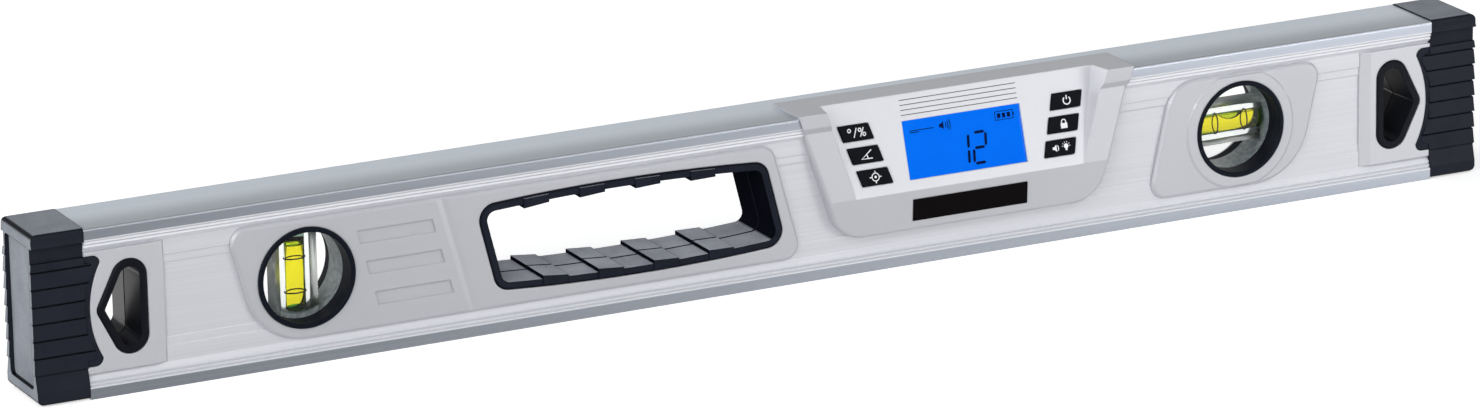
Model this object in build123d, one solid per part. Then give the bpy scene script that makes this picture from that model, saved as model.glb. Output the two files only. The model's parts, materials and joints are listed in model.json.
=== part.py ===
from build123d import *
from math import cos, radians, sin, tan
import os

# A digital spirit level of the 60 cm class, in millimetres and degrees.
# X runs along the beam with the display towards +X, the front looks towards -Y and +Z is up.
# The origin is the middle of the measuring base.

# Overall sizes of the beam
LENGTH = 600.0
BEAM_WIDTH = 30.0
BEAM_HEIGHT = 63.5

# Section of the aluminium beam: plain rail faces, fine ribs under them, then a stepped web
RAIL_FACE = 4.4
RAIL_EDGE_RADIUS = 0.9
RIB_COUNT = 2
RIB_PITCH = 1.3
RIB_GROOVE = 0.8
RIB_DRIFT = 0.45
RAIL_DEPTH = 8.7
WEB_INSET = 2.8
WEB_STEP_COUNT = 2
WEB_STEP_START = 14.6
WEB_STEP_PITCH = 3.0
WEB_STEP_DEPTH = 0.35
WEB_STEP_RAMP = 0.4
WEB_WALL = 1.7
RAIL_WALL = 2.4
CROSS_WALL = 1.6

# Everything on the web is set about one middle line, a little above half height
MIDLINE_RISE = 0.5

# Clearances: between pieces that are pressed together, and between pieces that move
SEAT_GAP = 0.1
MOVING_GAP = 0.25

# Silver covers on the web
COVER_PROUD = 1.5
COVER_MARGIN = 0.3
COVER_EDGE = 1.0

# Rubber end caps
CAP_LENGTH = 20.5
CAP_PROUD = 0.5
CAP_BASE_LIFT = 0.6
CAP_CORNER = 2.5
CAP_SIDE_PROUD = 0.1
CAP_EDGE = 1.5
CAP_NECK_INSET = 1.3
CAP_TOP_BAND = 5.2
CAP_LIP = 1.8
CAP_LIP_PROUD = 0.5
CAP_NECK = 5.8
CAP_FOOT_BAND = 5.0
CAP_FOOT_SLOPE = 6.1
SHINGLE_COUNT = 7
SHINGLE_TOP_SHARE = 0.45
SHINGLE_STEP = 0.6
SHINGLE_END_STEP = 0.35
SHINGLE_NOTCH = 0.7
SHINGLE_NOTCH_DEPTH = 0.8
CAP_TONGUE = 6.0
CAP_TONGUE_CORNER = 3.0
CAP_TONGUE_WAIST = 4.4
CAP_TONGUE_BORDER = 2.4
CAP_PLUG = 10.0
CAP_PANEL_MARGIN = 5.2
CAP_PANEL_SIDE = 3.6
CAP_PANEL_DEPTH = 1.6
CAP_PANEL_CORNER = 2.0

# Finger holes through both ends, each lined by two rubber halves
FINGER_FROM_END = 37.4
FINGER_END_RADIUS = 7.0
FINGER_END_SPREAD = 10.8
FINGER_TIP_OUT = 8.7
FINGER_TIP_RADIUS = 4.0
LINER_WALL = 3.0
LINER_PROUD = 0.4
LINER_LIP = 0.9
LINER_DRAFT = 3.0
LINER_PARTING = 0.35
END_PAD_INNER = 51.4
END_PAD_RAMP = 4.4

# Vial windows: a black ring in front, a clear moulding that holds the tube, a thin ring behind
PLUMB_FROM_HANDLE = 71.1
WINDOW_MARGIN = 3.25
BEZEL_WALL = 1.8
BEZEL_PROUD = 0.5
BEZEL_EDGE = 0.4
RETAINER_WALL = 0.6
VIAL_DEPTH = 12.6
VIAL_BAR_WIDTH = 14.8
VIAL_BORE_RADIUS = 4.0
VIAL_END_MARGIN = 5.5
VIAL_BORE_SHIFT = 1.7
VIAL_PLUG = 5.0
VIAL_MARK_SPREAD = 12.9
VIAL_MARK_WIDTH = 0.5
VIAL_MARK_DEPTH = 0.3
BUBBLE_RADIUS = 3.5
BUBBLE_LENGTH = 11.2
BUBBLE_DEPTH = 2.9
PLUMB_BUBBLE_HEIGHT = 2.0
PLUMB_BUBBLE_EDGE = 0.9

# Long cover with the plumb window and the hand hole
LONG_COVER_PAST_WINDOW = 24.9
LONG_COVER_PAST_HANDLE = 4.9
SPARE_WEB_RATIO = 0.671
COVER_LEAN = 15.0
COVER_SMALL_CORNER = 6.0
COVER_LARGE_CORNER = 24.0
SLOT_COUNT = 3
SLOT_LENGTH = 30.0
SLOT_HEIGHT = 5.0
SLOT_DEPTH = 0.7
SLOT_FROM_HANDLE = 32.1
SLOT_PITCH = 12.0
BAND_FROM_HANDLE = 11.3
BAND_WIDTH = 4.2
BAND_DEPTH = 0.6

# Short cover with the level window
LEVEL_RATIO = 0.518
SHORT_COVER_LEFT = 34.6
SHORT_COVER_RIGHT = 31.6
SHORT_COVER_LEAN = 13.0
SHORT_COVER_TOP_CORNER = 12.5
COLLAR_WIDTH = 4.6
COLLAR_RISE = 0.5
COLLAR_DRAFT = 55.0

# Hand hole and its two rubber grip halves
HANDLE_LENGTH = 118.6
HANDLE_HEIGHT = 33.2
HANDLE_LEAN = 13.6
HANDLE_BOW = 2.2
HANDLE_CORNER = 6.5
GRIP_WALL = 3.0
GRIP_PROUD = 0.4
GRIP_LIP = 0.8
GRIP_BLOCK_COUNT = 4
GRIP_BLOCK_LENGTH = 10.2
GRIP_BLOCK_PITCH = 22.6
GRIP_BLOCK_RISE = 1.1
GRIP_BLOCK_WEDGE = 3.5
GRIP_BLOCK_PROUD = 0.45
GRIP_PARTING = 0.5
GRIP_BLOCK_SHIFT = 7.0
GRIP_BLOCK_FROM_END = 20.4

# Display housing: it saddles the top rail, and its tilted panel is let in between two shoulders
DISPLAY_X = 76.0
HOUSING_TOP_WIDTH = 142.6
HOUSING_LEAN = 18.0
HOUSING_FOOT_RISE = 4.8
HOUSING_CORNER_MARGIN = 1.7
HOUSING_ROOF = 1.0
HOUSING_ROOF_BACK = 6.0
HOUSING_BROW_OUT = 1.9
HOUSING_BROW_DROP = 35.0
HOUSING_CHIN_IN = 1.0
SHOULDER_BAND = 5.3
SHOULDER_BAND_PROUD = 0.8
SHOULDER_STEP = 2.2
SHOULDER_STEP_IN = 1.3
HOUSING_WALL = 2.0
HOUSING_EDGE = 1.2
PANEL_TILT = 17.0
PANEL_FOOT_WIDTH = 97.0
PANEL_LEAN = 14.6
PANEL_SPLAY = 14.0
TUB_MARGIN = 2.4
TUB_BACK = 3.0
TUB_FOOT_RISE = 4.7

# Screen, key and plate places on the panel, measured up the slope from the brow
SCREEN_WIDTH = 50.0
SCREEN_HEIGHT = 22.1
SCREEN_RISE = 15.2
LENS_THICK = 1.4
LENS_SINK = 0.3
LCD_MARGIN = 2.5
KEY_ROWS = 3
KEY_WIDTH = 12.5
KEY_HEIGHT = 5.8
KEY_LEAN = 15.0
KEY_TOP_RISE = 24.8
KEY_ROW_PITCH = 8.75
KEY_TOP_OUT = 44.8
KEY_ROW_STEP = 2.63
KEY_PROUD = 0.8
KEY_FLANGE = 1.0
KEY_FLANGE_THICK = 0.8
KEY_TRAVEL = 0.7
MAT_THICK = 0.8
MAT_WIDTH = 15.0
MAT_TOP = 29.0
MAT_FOOT = 2.6
BOARD_THICK = 1.6
BOARD_WIDTH = 93.0
BOARD_TOP = 30.0
BOARD_FOOT = 1.6
POST_RADIUS = 1.6
POST_INSET = 3.0
POST_GAP = 0.3
PLATE_WIDTH = 48.6
PLATE_HEIGHT = 8.4
PLATE_THICK = 0.6
PLATE_SINK = 0.3

# Pieces on the back of the circuit board
SENSOR_WIDTH = 12.0
SENSOR_HEIGHT = 7.0
SENSOR_THICK = 2.4
BUZZER_RADIUS = 4.0
BUZZER_THICK = 2.4
BOARD_PIECE_RISE = 22.0
BOARD_PIECE_GAP = 4.0

# Battery housing on the back, for two small round cells
BACK_PROUD = 2.3
BACK_TOP_MARGIN = 0.3
BATTERY_RADIUS = 5.2
BATTERY_LENGTH = 44.5
BATTERY_NUB_RADIUS = 1.9
BATTERY_NUB = 1.0
BATTERY_PITCH = 11.2
CONTACT_ROOM = 3.2
CONTACT_THICK = 0.5
CONTACT_WIDTH = 8.0
CONTACT_BASE = 3.0
CONTACT_TIP = 1.5
WELL_WALL = 1.2
WELL_GAP = 0.3
WELL_FLOOR = 1.2
WELL_LIFT = 1.2
COVER_LEDGE = 2.0
COVER_THICK = 1.8
COVER_CORNER = 2.0
LATCH_WIDTH = 14.0
LATCH_HEIGHT = 3.0
LATCH_DEPTH = 0.9
SCREW_RADIUS = 1.4
SCREW_HEAD_RADIUS = 2.6
SCREW_HEAD = 1.5
SCREW_GRIP = 6.0
BOSS_RADIUS = 2.5
SCREW_HIGH_OUT = 53.0
SCREW_HIGH_DROP = 19.7
SCREW_LOW_OUT = 49.5
SCREW_LOW_DROP = 32.5

# Places that follow from the sizes above
HALF_WIDTH = BEAM_WIDTH / 2
MIDLINE = BEAM_HEIGHT / 2 + MIDLINE_RISE
WEB_HALF = HALF_WIDTH - WEB_INSET
WEB_CORE_HALF = WEB_HALF - WEB_STEP_COUNT * WEB_STEP_DEPTH
CAVITY_HALF = WEB_CORE_HALF - WEB_WALL
COVER_HALF = WEB_HALF + COVER_PROUD
COVER_LOW = RAIL_DEPTH + COVER_MARGIN
COVER_HIGH = BEAM_HEIGHT - RAIL_DEPTH - COVER_MARGIN
MIDLINE_COVER = (COVER_LOW + COVER_HIGH) / 2
BEAM_END = LENGTH / 2 - CAP_LENGTH
FINGER_X = LENGTH / 2 - FINGER_FROM_END
PAD_INNER_X = LENGTH / 2 - END_PAD_INNER
BEZEL_RADIUS = COVER_HIGH - MIDLINE - WINDOW_MARGIN
BEZEL_BORE = BEZEL_RADIUS - BEZEL_WALL
COLLAR_RADIUS = BEZEL_RADIUS + COLLAR_WIDTH
VIAL_HALF = VIAL_DEPTH / 2
VIAL_BORE_LENGTH = 2 * (BEZEL_RADIUS - VIAL_END_MARGIN)
TUBE_LOW = -VIAL_BORE_SHIFT - VIAL_BORE_LENGTH / 2
TUBE_HIGH = TUBE_LOW + VIAL_BORE_LENGTH
HOUSING_TOP = BEAM_HEIGHT + HOUSING_ROOF
HOUSING_BOTTOM = COVER_LOW + HOUSING_FOOT_RISE
HOUSING_BROW_Z = HOUSING_TOP - HOUSING_BROW_DROP
HOUSING_CORNER = HOUSING_BROW_Z - HOUSING_BOTTOM - HOUSING_CORNER_MARGIN
TUB_FOOT = HOUSING_BOTTOM + TUB_FOOT_RISE
PLATE_Z = (HOUSING_BOTTOM + HOUSING_BROW_Z) / 2
BROW_HALF = HALF_WIDTH + HOUSING_BROW_OUT
BACK_HALF = WEB_HALF + BACK_PROUD
KEY_BACK = HOUSING_WALL + KEY_FLANGE_THICK + KEY_TRAVEL + MOVING_GAP
MAT_FACE = KEY_BACK + MOVING_GAP
BOARD_FACE = MAT_FACE + MAT_THICK
WELL_LENGTH = BATTERY_LENGTH + BATTERY_NUB + 2 * CONTACT_ROOM
WELL_HEIGHT = BATTERY_PITCH + 2 * BATTERY_RADIUS + 2 * WELL_GAP
BATTERY_Y = BACK_HALF - COVER_THICK - 2 * MOVING_GAP - BATTERY_RADIUS
BATTERY_Z = TUB_FOOT + HOUSING_WALL + WELL_LIFT + WELL_WALL + WELL_HEIGHT / 2
BOARD_PIECE_OUT = WELL_LENGTH / 2 + WELL_WALL + BOARD_PIECE_GAP


def housing_half_width(z):
    return HOUSING_TOP_WIDTH / 2 - (HOUSING_TOP - z) * tan(radians(HOUSING_LEAN))


# The long cover and all that is in it share out the spare web between the left pad and the display
LONG_COVER_LENGTH = LONG_COVER_PAST_WINDOW + PLUMB_FROM_HANDLE + HANDLE_LENGTH + LONG_COVER_PAST_HANDLE
SPARE_WEB = DISPLAY_X - housing_half_width(MIDLINE) + PAD_INNER_X - LONG_COVER_LENGTH
LONG_COVER_START = SPARE_WEB_RATIO * SPARE_WEB - PAD_INNER_X
LONG_COVER_END = LONG_COVER_START + LONG_COVER_LENGTH
PLUMB_X = LONG_COVER_START + LONG_COVER_PAST_WINDOW
HANDLE_LEFT = PLUMB_X + PLUMB_FROM_HANDLE
HANDLE_X = HANDLE_LEFT + HANDLE_LENGTH / 2

# The level window stands just past midway between the display and the right pad
DISPLAY_RIGHT = DISPLAY_X + housing_half_width(MIDLINE)
LEVEL_X = DISPLAY_RIGHT + LEVEL_RATIO * (PAD_INNER_X - DISPLAY_RIGHT)

# The panel's own frame: x along the beam, y up the slope, z out of the panel
PANEL = Plane(
    origin=(DISPLAY_X, -BROW_HALF, HOUSING_BROW_Z),
    x_dir=(1, 0, 0),
    z_dir=(0, -cos(radians(PANEL_TILT)), sin(radians(PANEL_TILT))),
)


# Drawing helpers: faces are drawn as seen from the front, with x along the beam and y up
def slab(face, near, far):
    """A front-drawn face as a solid from `near` to `far` in front of the middle plane."""
    return extrude(Plane.XZ.offset(near) * face, far - near)


def bar_along(face, start, end):
    """A face drawn across the beam, y to the back and z up, swept along the beam."""
    return extrude(Plane.YZ.offset(start) * face, end - start)


def polygon(points):
    return make_face(Polyline(*points, close=True))


def hull(circles):
    """The tight outline around circles given as (x, y, radius)."""
    rims = [(Pos(x, y) * Circle(r)).edge() for x, y, r in circles]
    return make_hull(rims)


def leaning_bar(width, height, lean):
    """A bar whose ends lean: its top stands further right for a positive lean."""
    shift = height / 2 * tan(radians(lean))
    corners = [
        (-width / 2 - shift, -height / 2),
        (width / 2 - shift, -height / 2),
        (width / 2 + shift, height / 2),
        (-width / 2 + shift, height / 2),
    ]
    return polygon(corners)


def round_corners(face, radii):
    """Round the corners of a four-sided face: low left, low right, high right, high left."""
    by_height = face.vertices().sort_by(Axis.Y)
    low = by_height[:2].sort_by(Axis.X)
    high = by_height[2:].sort_by(Axis.X)
    corners = [low[0], low[1], high[1], high[0]]
    places = [corner.center() for corner in corners]
    for place, radius in zip(places, radii):
        corner = face.vertices().sort_by_distance(place)[0]
        face = fillet(corner, radius)
    return face


def back_twin(piece):
    return mirror(piece, about=Plane.XZ)


def left_twin(piece):
    return mirror(piece, about=Plane.YZ)


def front_edges(piece):
    """The edges that lie in the foremost plane of a piece."""
    return piece.edges().group_by(Axis.Y)[0]


# Beam: a hollow extrusion with windows cut through it
def rail_and_web():
    """Half of one face of the section, as (inset from the rail face, distance from the edge)."""
    points = [(0, 0), (0, RAIL_FACE)]
    for rib in range(RIB_COUNT):
        start = RAIL_FACE + rib * RIB_PITCH
        points.append((rib * RIB_DRIFT + RIB_GROOVE, start + RIB_PITCH / 3))
        points.append(((rib + 1) * RIB_DRIFT, start + RIB_PITCH))
    points.append((WEB_INSET, RAIL_DEPTH))
    for step in range(WEB_STEP_COUNT):
        height = WEB_STEP_START + step * WEB_STEP_PITCH
        inset = WEB_INSET + step * WEB_STEP_DEPTH
        points.append((inset, height))
        points.append((inset + WEB_STEP_DEPTH, height + WEB_STEP_RAMP))
    return points


def section_outline():
    half_face = rail_and_web()
    low = [(inset - HALF_WIDTH, rise) for inset, rise in half_face]
    high = [(inset - HALF_WIDTH, BEAM_HEIGHT - rise) for inset, rise in reversed(half_face)]
    front = low + high
    back = [(-y, z) for y, z in reversed(front)]
    outline = polygon(front + back)
    top_corners = outline.vertices().group_by(Axis.Y)[-1]
    return fillet(top_corners, RAIL_EDGE_RADIUS)


def cavity(low, high):
    return Pos(0, (low + high) / 2) * Rectangle(2 * CAVITY_HALF, high - low)


CROSS_LOW = RAIL_DEPTH - CROSS_WALL
CAVITIES = [
    (RAIL_WALL, CROSS_LOW),
    (RAIL_DEPTH, BEAM_HEIGHT - RAIL_DEPTH),
    (BEAM_HEIGHT - CROSS_LOW, BEAM_HEIGHT - RAIL_WALL),
]


def beam_envelope(end):
    return bar_along(section_outline(), -end, end)


def beam():
    section = section_outline()
    for low, high in CAVITIES:
        section -= cavity(low, high)
    body = bar_along(section, -BEAM_END, BEAM_END)
    finger = slab(finger_outline(-SEAT_GAP), -HALF_WIDTH, HALF_WIDTH)
    window = slab(Circle(BEZEL_RADIUS + SEAT_GAP), -HALF_WIDTH, HALF_WIDTH)
    body -= [finger, left_twin(finger)]
    body -= [Pos(LEVEL_X, 0, MIDLINE) * window, Pos(PLUMB_X, 0, MIDLINE) * window]
    body -= slab(handle_outline(-SEAT_GAP), -HALF_WIDTH, HALF_WIDTH)
    body -= slab(tub_outline(-SEAT_GAP), -TUB_BACK - SEAT_GAP, HALF_WIDTH)
    body -= slab(well_outline(-SEAT_GAP), -HALF_WIDTH, -CAVITY_HALF + WEB_WALL)
    for x, z in SCREW_PLACES:
        hole = Pos(x, z) * Circle(SCREW_RADIUS + MOVING_GAP)
        body -= slab(hole, -HALF_WIDTH, -CAVITY_HALF + WEB_WALL)
    return body


# Finger holes
def finger_outline(inset):
    end = FINGER_END_RADIUS - inset
    tip = FINGER_TIP_RADIUS - inset
    circles = [
        (FINGER_X, MIDLINE + FINGER_END_SPREAD, end),
        (FINGER_X, MIDLINE - FINGER_END_SPREAD, end),
        (FINGER_X + FINGER_TIP_OUT, MIDLINE, tip),
    ]
    return hull(circles)


def finger_liner():
    """Front half of the right liner: a rubber sleeve that narrows towards the parting plane."""
    front = COVER_HALF + LINER_PROUD
    sleeve = slab(finger_outline(0), SEAT_GAP / 2, front)
    sleeve = chamfer(front_edges(sleeve), LINER_LIP)
    narrow = tan(radians(LINER_DRAFT)) * front
    bore = extrude(Plane.XZ.offset(front) * finger_outline(LINER_WALL), -front, taper=LINER_DRAFT)
    seam = slab(finger_outline(LINER_WALL + narrow - LINER_PARTING), 0, LINER_PARTING)
    return sleeve - bore - seam


# End caps
CAP_FOOT = CAP_FOOT_BAND + CAP_FOOT_SLOPE
CAP_HIGH = BEAM_HEIGHT + CAP_PROUD
CAP_SIDE = HALF_WIDTH + CAP_SIDE_PROUD
TONGUE_HALF = COVER_HALF + LINER_PROUD
TONGUE_LOW = CAP_FOOT + CAP_BASE_LIFT
TONGUE_HIGH = CAP_HIGH - CAP_TOP_BAND - CAP_NECK
SHINGLE_PITCH = (TONGUE_HIGH - TONGUE_LOW) / (SHINGLE_COUNT - 1 + SHINGLE_TOP_SHARE)
SHINGLE_FEET = [TONGUE_LOW + row * SHINGLE_PITCH for row in range(SHINGLE_COUNT)]


def shingled_side():
    """Points up a shingled side: each shingle leans out to its lower edge, over a notch."""
    top = TONGUE_HALF - SHINGLE_STEP
    deep = top - SHINGLE_NOTCH_DEPTH
    points = [(TONGUE_HALF, SHINGLE_FEET[0])]
    for foot in SHINGLE_FEET[1:]:
        points.append((top, foot - SHINGLE_NOTCH))
        points.append((deep, foot - SHINGLE_NOTCH))
        points.append((deep, foot))
        points.append((TONGUE_HALF, foot))
    points.append((TONGUE_HALF - SHINGLE_TOP_SHARE * SHINGLE_STEP, TONGUE_HIGH))
    return points


def cap_section():
    side = [
        (CAP_SIDE - CAP_BASE_LIFT, CAP_BASE_LIFT),
        (CAP_SIDE, 2 * CAP_BASE_LIFT),
        (CAP_SIDE, CAP_FOOT_BAND),
        (TONGUE_HALF - SHINGLE_STEP, CAP_FOOT),
    ]
    side += shingled_side()
    band = CAP_HIGH - CAP_TOP_BAND
    side += [
        (TONGUE_HALF - CAP_NECK_INSET, TONGUE_HIGH),
        (TONGUE_HALF - CAP_NECK_INSET, band),
        (CAP_SIDE, band),
        (CAP_SIDE - CAP_LIP_PROUD, band + CAP_LIP),
        (CAP_SIDE - CAP_LIP_PROUD, CAP_HIGH),
    ]
    other = [(-y, z) for y, z in reversed(side)]
    face = polygon(side + other)
    return fillet(face.vertices().group_by(Axis.Y)[-1], CAP_EDGE)


def cap_profile():
    """The cap seen from the front: an end with rounded corners, shingled between them."""
    end = LENGTH / 2
    face_x = end - SHINGLE_END_STEP
    points = [(BEAM_END, CAP_BASE_LIFT), (face_x, CAP_BASE_LIFT)]
    for foot in SHINGLE_FEET:
        points += [(face_x, foot), (end, foot)]
    points += [(face_x, TONGUE_HIGH), (face_x, CAP_HIGH), (BEAM_END, CAP_HIGH)]
    face = polygon(points)
    for height in (CAP_BASE_LIFT, CAP_HIGH):
        corner = face.vertices().sort_by_distance((face_x, height))[0]
        face = fillet(corner, CAP_CORNER)
    return face


def tongue_outline(gap):
    """The cap's tab beside the finger hole, hollowed by an arc around the hole."""
    low = TONGUE_LOW - gap
    high = TONGUE_HIGH + gap
    reach = BEAM_END - CAP_TONGUE - gap
    tab = Pos((BEAM_END + reach) / 2, (low + high) / 2) * Rectangle(BEAM_END - reach, high - low)
    inner = tab.vertices().group_by(Axis.X)[0]
    tab = fillet(inner, CAP_TONGUE_CORNER)
    span = (high - low) / 2 - CAP_TONGUE_CORNER
    radius = (span**2 + CAP_TONGUE_WAIST**2) / (2 * CAP_TONGUE_WAIST)
    waist = Pos(reach + CAP_TONGUE_WAIST - radius, (low + high) / 2) * Circle(radius)
    return tab - waist


def end_cap():
    end = LENGTH / 2
    body = bar_along(cap_section(), BEAM_END, end) & slab(cap_profile(), -CAP_SIDE, CAP_SIDE)
    height = CAP_HIGH - CAP_BASE_LIFT - 2 * CAP_PANEL_MARGIN
    panel = Rectangle(2 * (CAP_SIDE - CAP_PANEL_SIDE), height)
    panel = Pos(0, (CAP_BASE_LIFT + CAP_HIGH) / 2) * panel
    panel = fillet(panel.vertices(), CAP_PANEL_CORNER)
    body -= bar_along(panel, end - SHINGLE_END_STEP - CAP_PANEL_DEPTH, end)
    tab = slab(tongue_outline(0), WEB_CORE_HALF, TONGUE_HALF - SHINGLE_STEP)
    field = slab(tongue_outline(-CAP_TONGUE_BORDER), WEB_CORE_HALF, TONGUE_HALF)
    tab -= field
    tab += field & bar_along(cap_section(), BEAM_END - CAP_TONGUE, BEAM_END)
    tab -= beam_envelope(end)
    body += [tab, back_twin(tab)]
    for low, high in (CAVITIES[0], CAVITIES[2]):
        plug = offset(cavity(low, high), -SEAT_GAP, kind=Kind.INTERSECTION)
        body += bar_along(plug, BEAM_END - CAP_PLUG, BEAM_END)
    return body


# Silver covers
def seated(face, front):
    """A cover from the stepped web out to `front`, fitted to the web's own steps."""
    return slab(face, WEB_CORE_HALF, front) - beam_envelope(LENGTH / 2)


def end_pad():
    face = Rectangle(BEAM_END - PAD_INNER_X, COVER_HIGH - COVER_LOW)
    face = Pos((PAD_INNER_X + BEAM_END) / 2, MIDLINE_COVER) * face
    face -= tongue_outline(SEAT_GAP)
    face -= finger_outline(-SEAT_GAP)
    pad = seated(face, COVER_HALF)
    ramp = front_edges(pad).filter_by(Axis.Z).sort_by(Axis.X)[0]
    return chamfer(ramp, COVER_PROUD - SEAT_GAP, END_PAD_RAMP)


def leaning_cover(start, end, lean, radii):
    """A four-sided cover outline; start and end are where its leaning ends cross the middle line."""
    below = (MIDLINE - COVER_LOW) * tan(radians(lean))
    above = (COVER_HIGH - MIDLINE) * tan(radians(lean))
    corners = [
        (start - below, COVER_LOW),
        (end - below, COVER_LOW),
        (end + above, COVER_HIGH),
        (start + above, COVER_HIGH),
    ]
    return round_corners(polygon(corners), radii)


def softened(cover):
    """Break the outer rim of a cover's front face."""
    face = cover.faces().filter_by(Axis.Y).sort_by(Axis.Y)[0]
    return chamfer(face.outer_wire().edges(), COVER_EDGE)


def long_cover():
    radii = (COVER_LARGE_CORNER, COVER_SMALL_CORNER, COVER_SMALL_CORNER, COVER_SMALL_CORNER)
    face = leaning_cover(LONG_COVER_START, LONG_COVER_END, -COVER_LEAN, radii)
    cover = softened(seated(face, COVER_HALF))
    cover -= slab(Pos(PLUMB_X, MIDLINE) * Circle(BEZEL_RADIUS + SEAT_GAP), 0, HALF_WIDTH)
    cover -= slab(handle_outline(-SEAT_GAP), 0, HALF_WIDTH)
    lean = tan(radians(COVER_LEAN))
    for row in range(SLOT_COUNT):
        rise = ((SLOT_COUNT - 1) / 2 - row) * SLOT_PITCH
        slot = leaning_bar(SLOT_LENGTH, SLOT_HEIGHT, -COVER_LEAN)
        slot = Pos(HANDLE_LEFT - SLOT_FROM_HANDLE - rise * lean, MIDLINE + rise) * slot
        cover -= slab(slot, COVER_HALF - SLOT_DEPTH, HALF_WIDTH)
    band = polygon([(-BAND_WIDTH / 2, 0), (BAND_WIDTH / 2, 0), (0, BAND_DEPTH)])
    return cover - band_groove(band)


def band_groove(section):
    """A shallow leaning groove across the long cover, between the window and the hand hole."""
    along = Plane(
        origin=(HANDLE_LEFT - BAND_FROM_HANDLE, -COVER_HALF, MIDLINE),
        x_dir=(cos(radians(COVER_LEAN)), 0, sin(radians(COVER_LEAN))),
        z_dir=(-sin(radians(COVER_LEAN)), 0, cos(radians(COVER_LEAN))),
    )
    return extrude(along * section, BEAM_HEIGHT / 2, both=True)


def short_cover():
    radii = (COVER_SMALL_CORNER, COVER_LARGE_CORNER, COVER_SMALL_CORNER, SHORT_COVER_TOP_CORNER)
    start = LEVEL_X - SHORT_COVER_LEFT
    end = LEVEL_X + SHORT_COVER_RIGHT
    face = leaning_cover(start, end, SHORT_COVER_LEAN, radii)
    cover = softened(seated(face, COVER_HALF))
    centre = Pos(LEVEL_X, MIDLINE)
    rim = Plane.XZ.offset(COVER_HALF) * (centre * Circle(COLLAR_RADIUS))
    collar = extrude(rim, COLLAR_RISE, taper=COLLAR_DRAFT)
    collar &= slab(offset(face, -COVER_EDGE), 0, HALF_WIDTH)
    return cover + collar - slab(centre * Circle(BEZEL_RADIUS + SEAT_GAP), 0, HALF_WIDTH)


# Vials
def bezel():
    """Black ring in front of a clear moulding, about the window's own centre."""
    front = COVER_HALF + COLLAR_RISE + BEZEL_PROUD
    ring = slab(Circle(BEZEL_RADIUS) - Circle(BEZEL_BORE), VIAL_HALF + SEAT_GAP, front)
    return chamfer(front_edges(ring), BEZEL_EDGE)


def retainer():
    """Thin ring behind a clear moulding, flush with the back of the web."""
    ring = Circle(BEZEL_RADIUS) - Circle(BEZEL_RADIUS - RETAINER_WALL)
    return slab(ring, -WEB_HALF, -VIAL_HALF - SEAT_GAP)


def rod(radius, low, high):
    return Pos(0, 0, low) * extrude(Circle(radius), high - low)


def vial_marks():
    """Two printed rings around the tube, one each side of the bubble's place."""
    rings = []
    for side in (-1, 1):
        low = side * VIAL_MARK_SPREAD / 2 - VIAL_BORE_SHIFT - VIAL_MARK_WIDTH / 2
        ring = rod(VIAL_BORE_RADIUS + VIAL_MARK_DEPTH, low, low + VIAL_MARK_WIDTH)
        rings.append(ring - rod(VIAL_BORE_RADIUS, TUBE_LOW, TUBE_HIGH))
    return rings


def vial_block(marks):
    """Clear moulding of an upright vial: a ring with a bar across it, bored for the tube."""
    outer = Circle(BEZEL_RADIUS - SEAT_GAP)
    bar = outer & Rectangle(VIAL_BAR_WIDTH, 2 * BEZEL_RADIUS)
    block = slab(outer - Circle(BEZEL_BORE) + bar, -VIAL_HALF, VIAL_HALF)
    return block - rod(VIAL_BORE_RADIUS, TUBE_LOW, BEZEL_RADIUS) - marks


def lens_bubble():
    """The level vial's bubble: air along the top of the tube over a rounded floor."""
    curve = (BUBBLE_LENGTH**2 / 4 + BUBBLE_DEPTH**2) / (2 * BUBBLE_DEPTH)
    centre = Pos(BUBBLE_RADIUS - BUBBLE_DEPTH + curve, 0)
    path = Circle(BUBBLE_RADIUS + MOVING_GAP) & centre * Circle(curve + MOVING_GAP)
    ball = Pos(0, 0, -VIAL_BORE_SHIFT) * centre * Sphere(curve)
    return rod(BUBBLE_RADIUS, TUBE_LOW, TUBE_HIGH) & ball, path


def disc_bubble():
    """The plumb vial's bubble: the same air standing as a disc at the head of the tube."""
    top = TUBE_HIGH - 2 * MOVING_GAP
    disc = rod(BUBBLE_RADIUS, top - PLUMB_BUBBLE_HEIGHT, top)
    return chamfer(disc.edges(), PLUMB_BUBBLE_EDGE), Circle(BUBBLE_RADIUS + MOVING_GAP)


def upright_vial(bubble, path):
    """All pieces of a vial standing upright at the origin, its liquid cleared for the bubble's path."""
    marks = vial_marks()
    lane = Pos(0, 0, TUBE_LOW + MOVING_GAP) * extrude(path, VIAL_BORE_LENGTH - 2 * MOVING_GAP)
    return {
        "block": vial_block(marks),
        "plug": rod(VIAL_BORE_RADIUS, TUBE_HIGH, TUBE_HIGH + VIAL_PLUG),
        "marks": Compound(marks),
        "liquid": rod(VIAL_BORE_RADIUS, TUBE_LOW, TUBE_HIGH) - lane,
        "bubble": bubble,
    }


# Hand hole
def handle_outline(inset):
    """A leaning opening with bowed long sides."""
    half = HANDLE_LENGTH / 2
    rise = HANDLE_HEIGHT / 2
    shift = rise * tan(radians(HANDLE_LEAN))
    low_left = (HANDLE_X - half + shift, MIDLINE - rise)
    low_right = (HANDLE_X + half + shift, MIDLINE - rise)
    high_right = (HANDLE_X + half - shift, MIDLINE + rise)
    high_left = (HANDLE_X - half - shift, MIDLINE + rise)
    rim = [
        ThreePointArc(low_left, (HANDLE_X + shift, MIDLINE - rise - HANDLE_BOW), low_right),
        Line(low_right, high_right),
        ThreePointArc(high_right, (HANDLE_X - shift, MIDLINE + rise + HANDLE_BOW), high_left),
        Line(high_left, low_left),
    ]
    face = round_corners(make_face(rim), [HANDLE_CORNER] * 4)
    return offset(face, -inset) if inset else face


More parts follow.
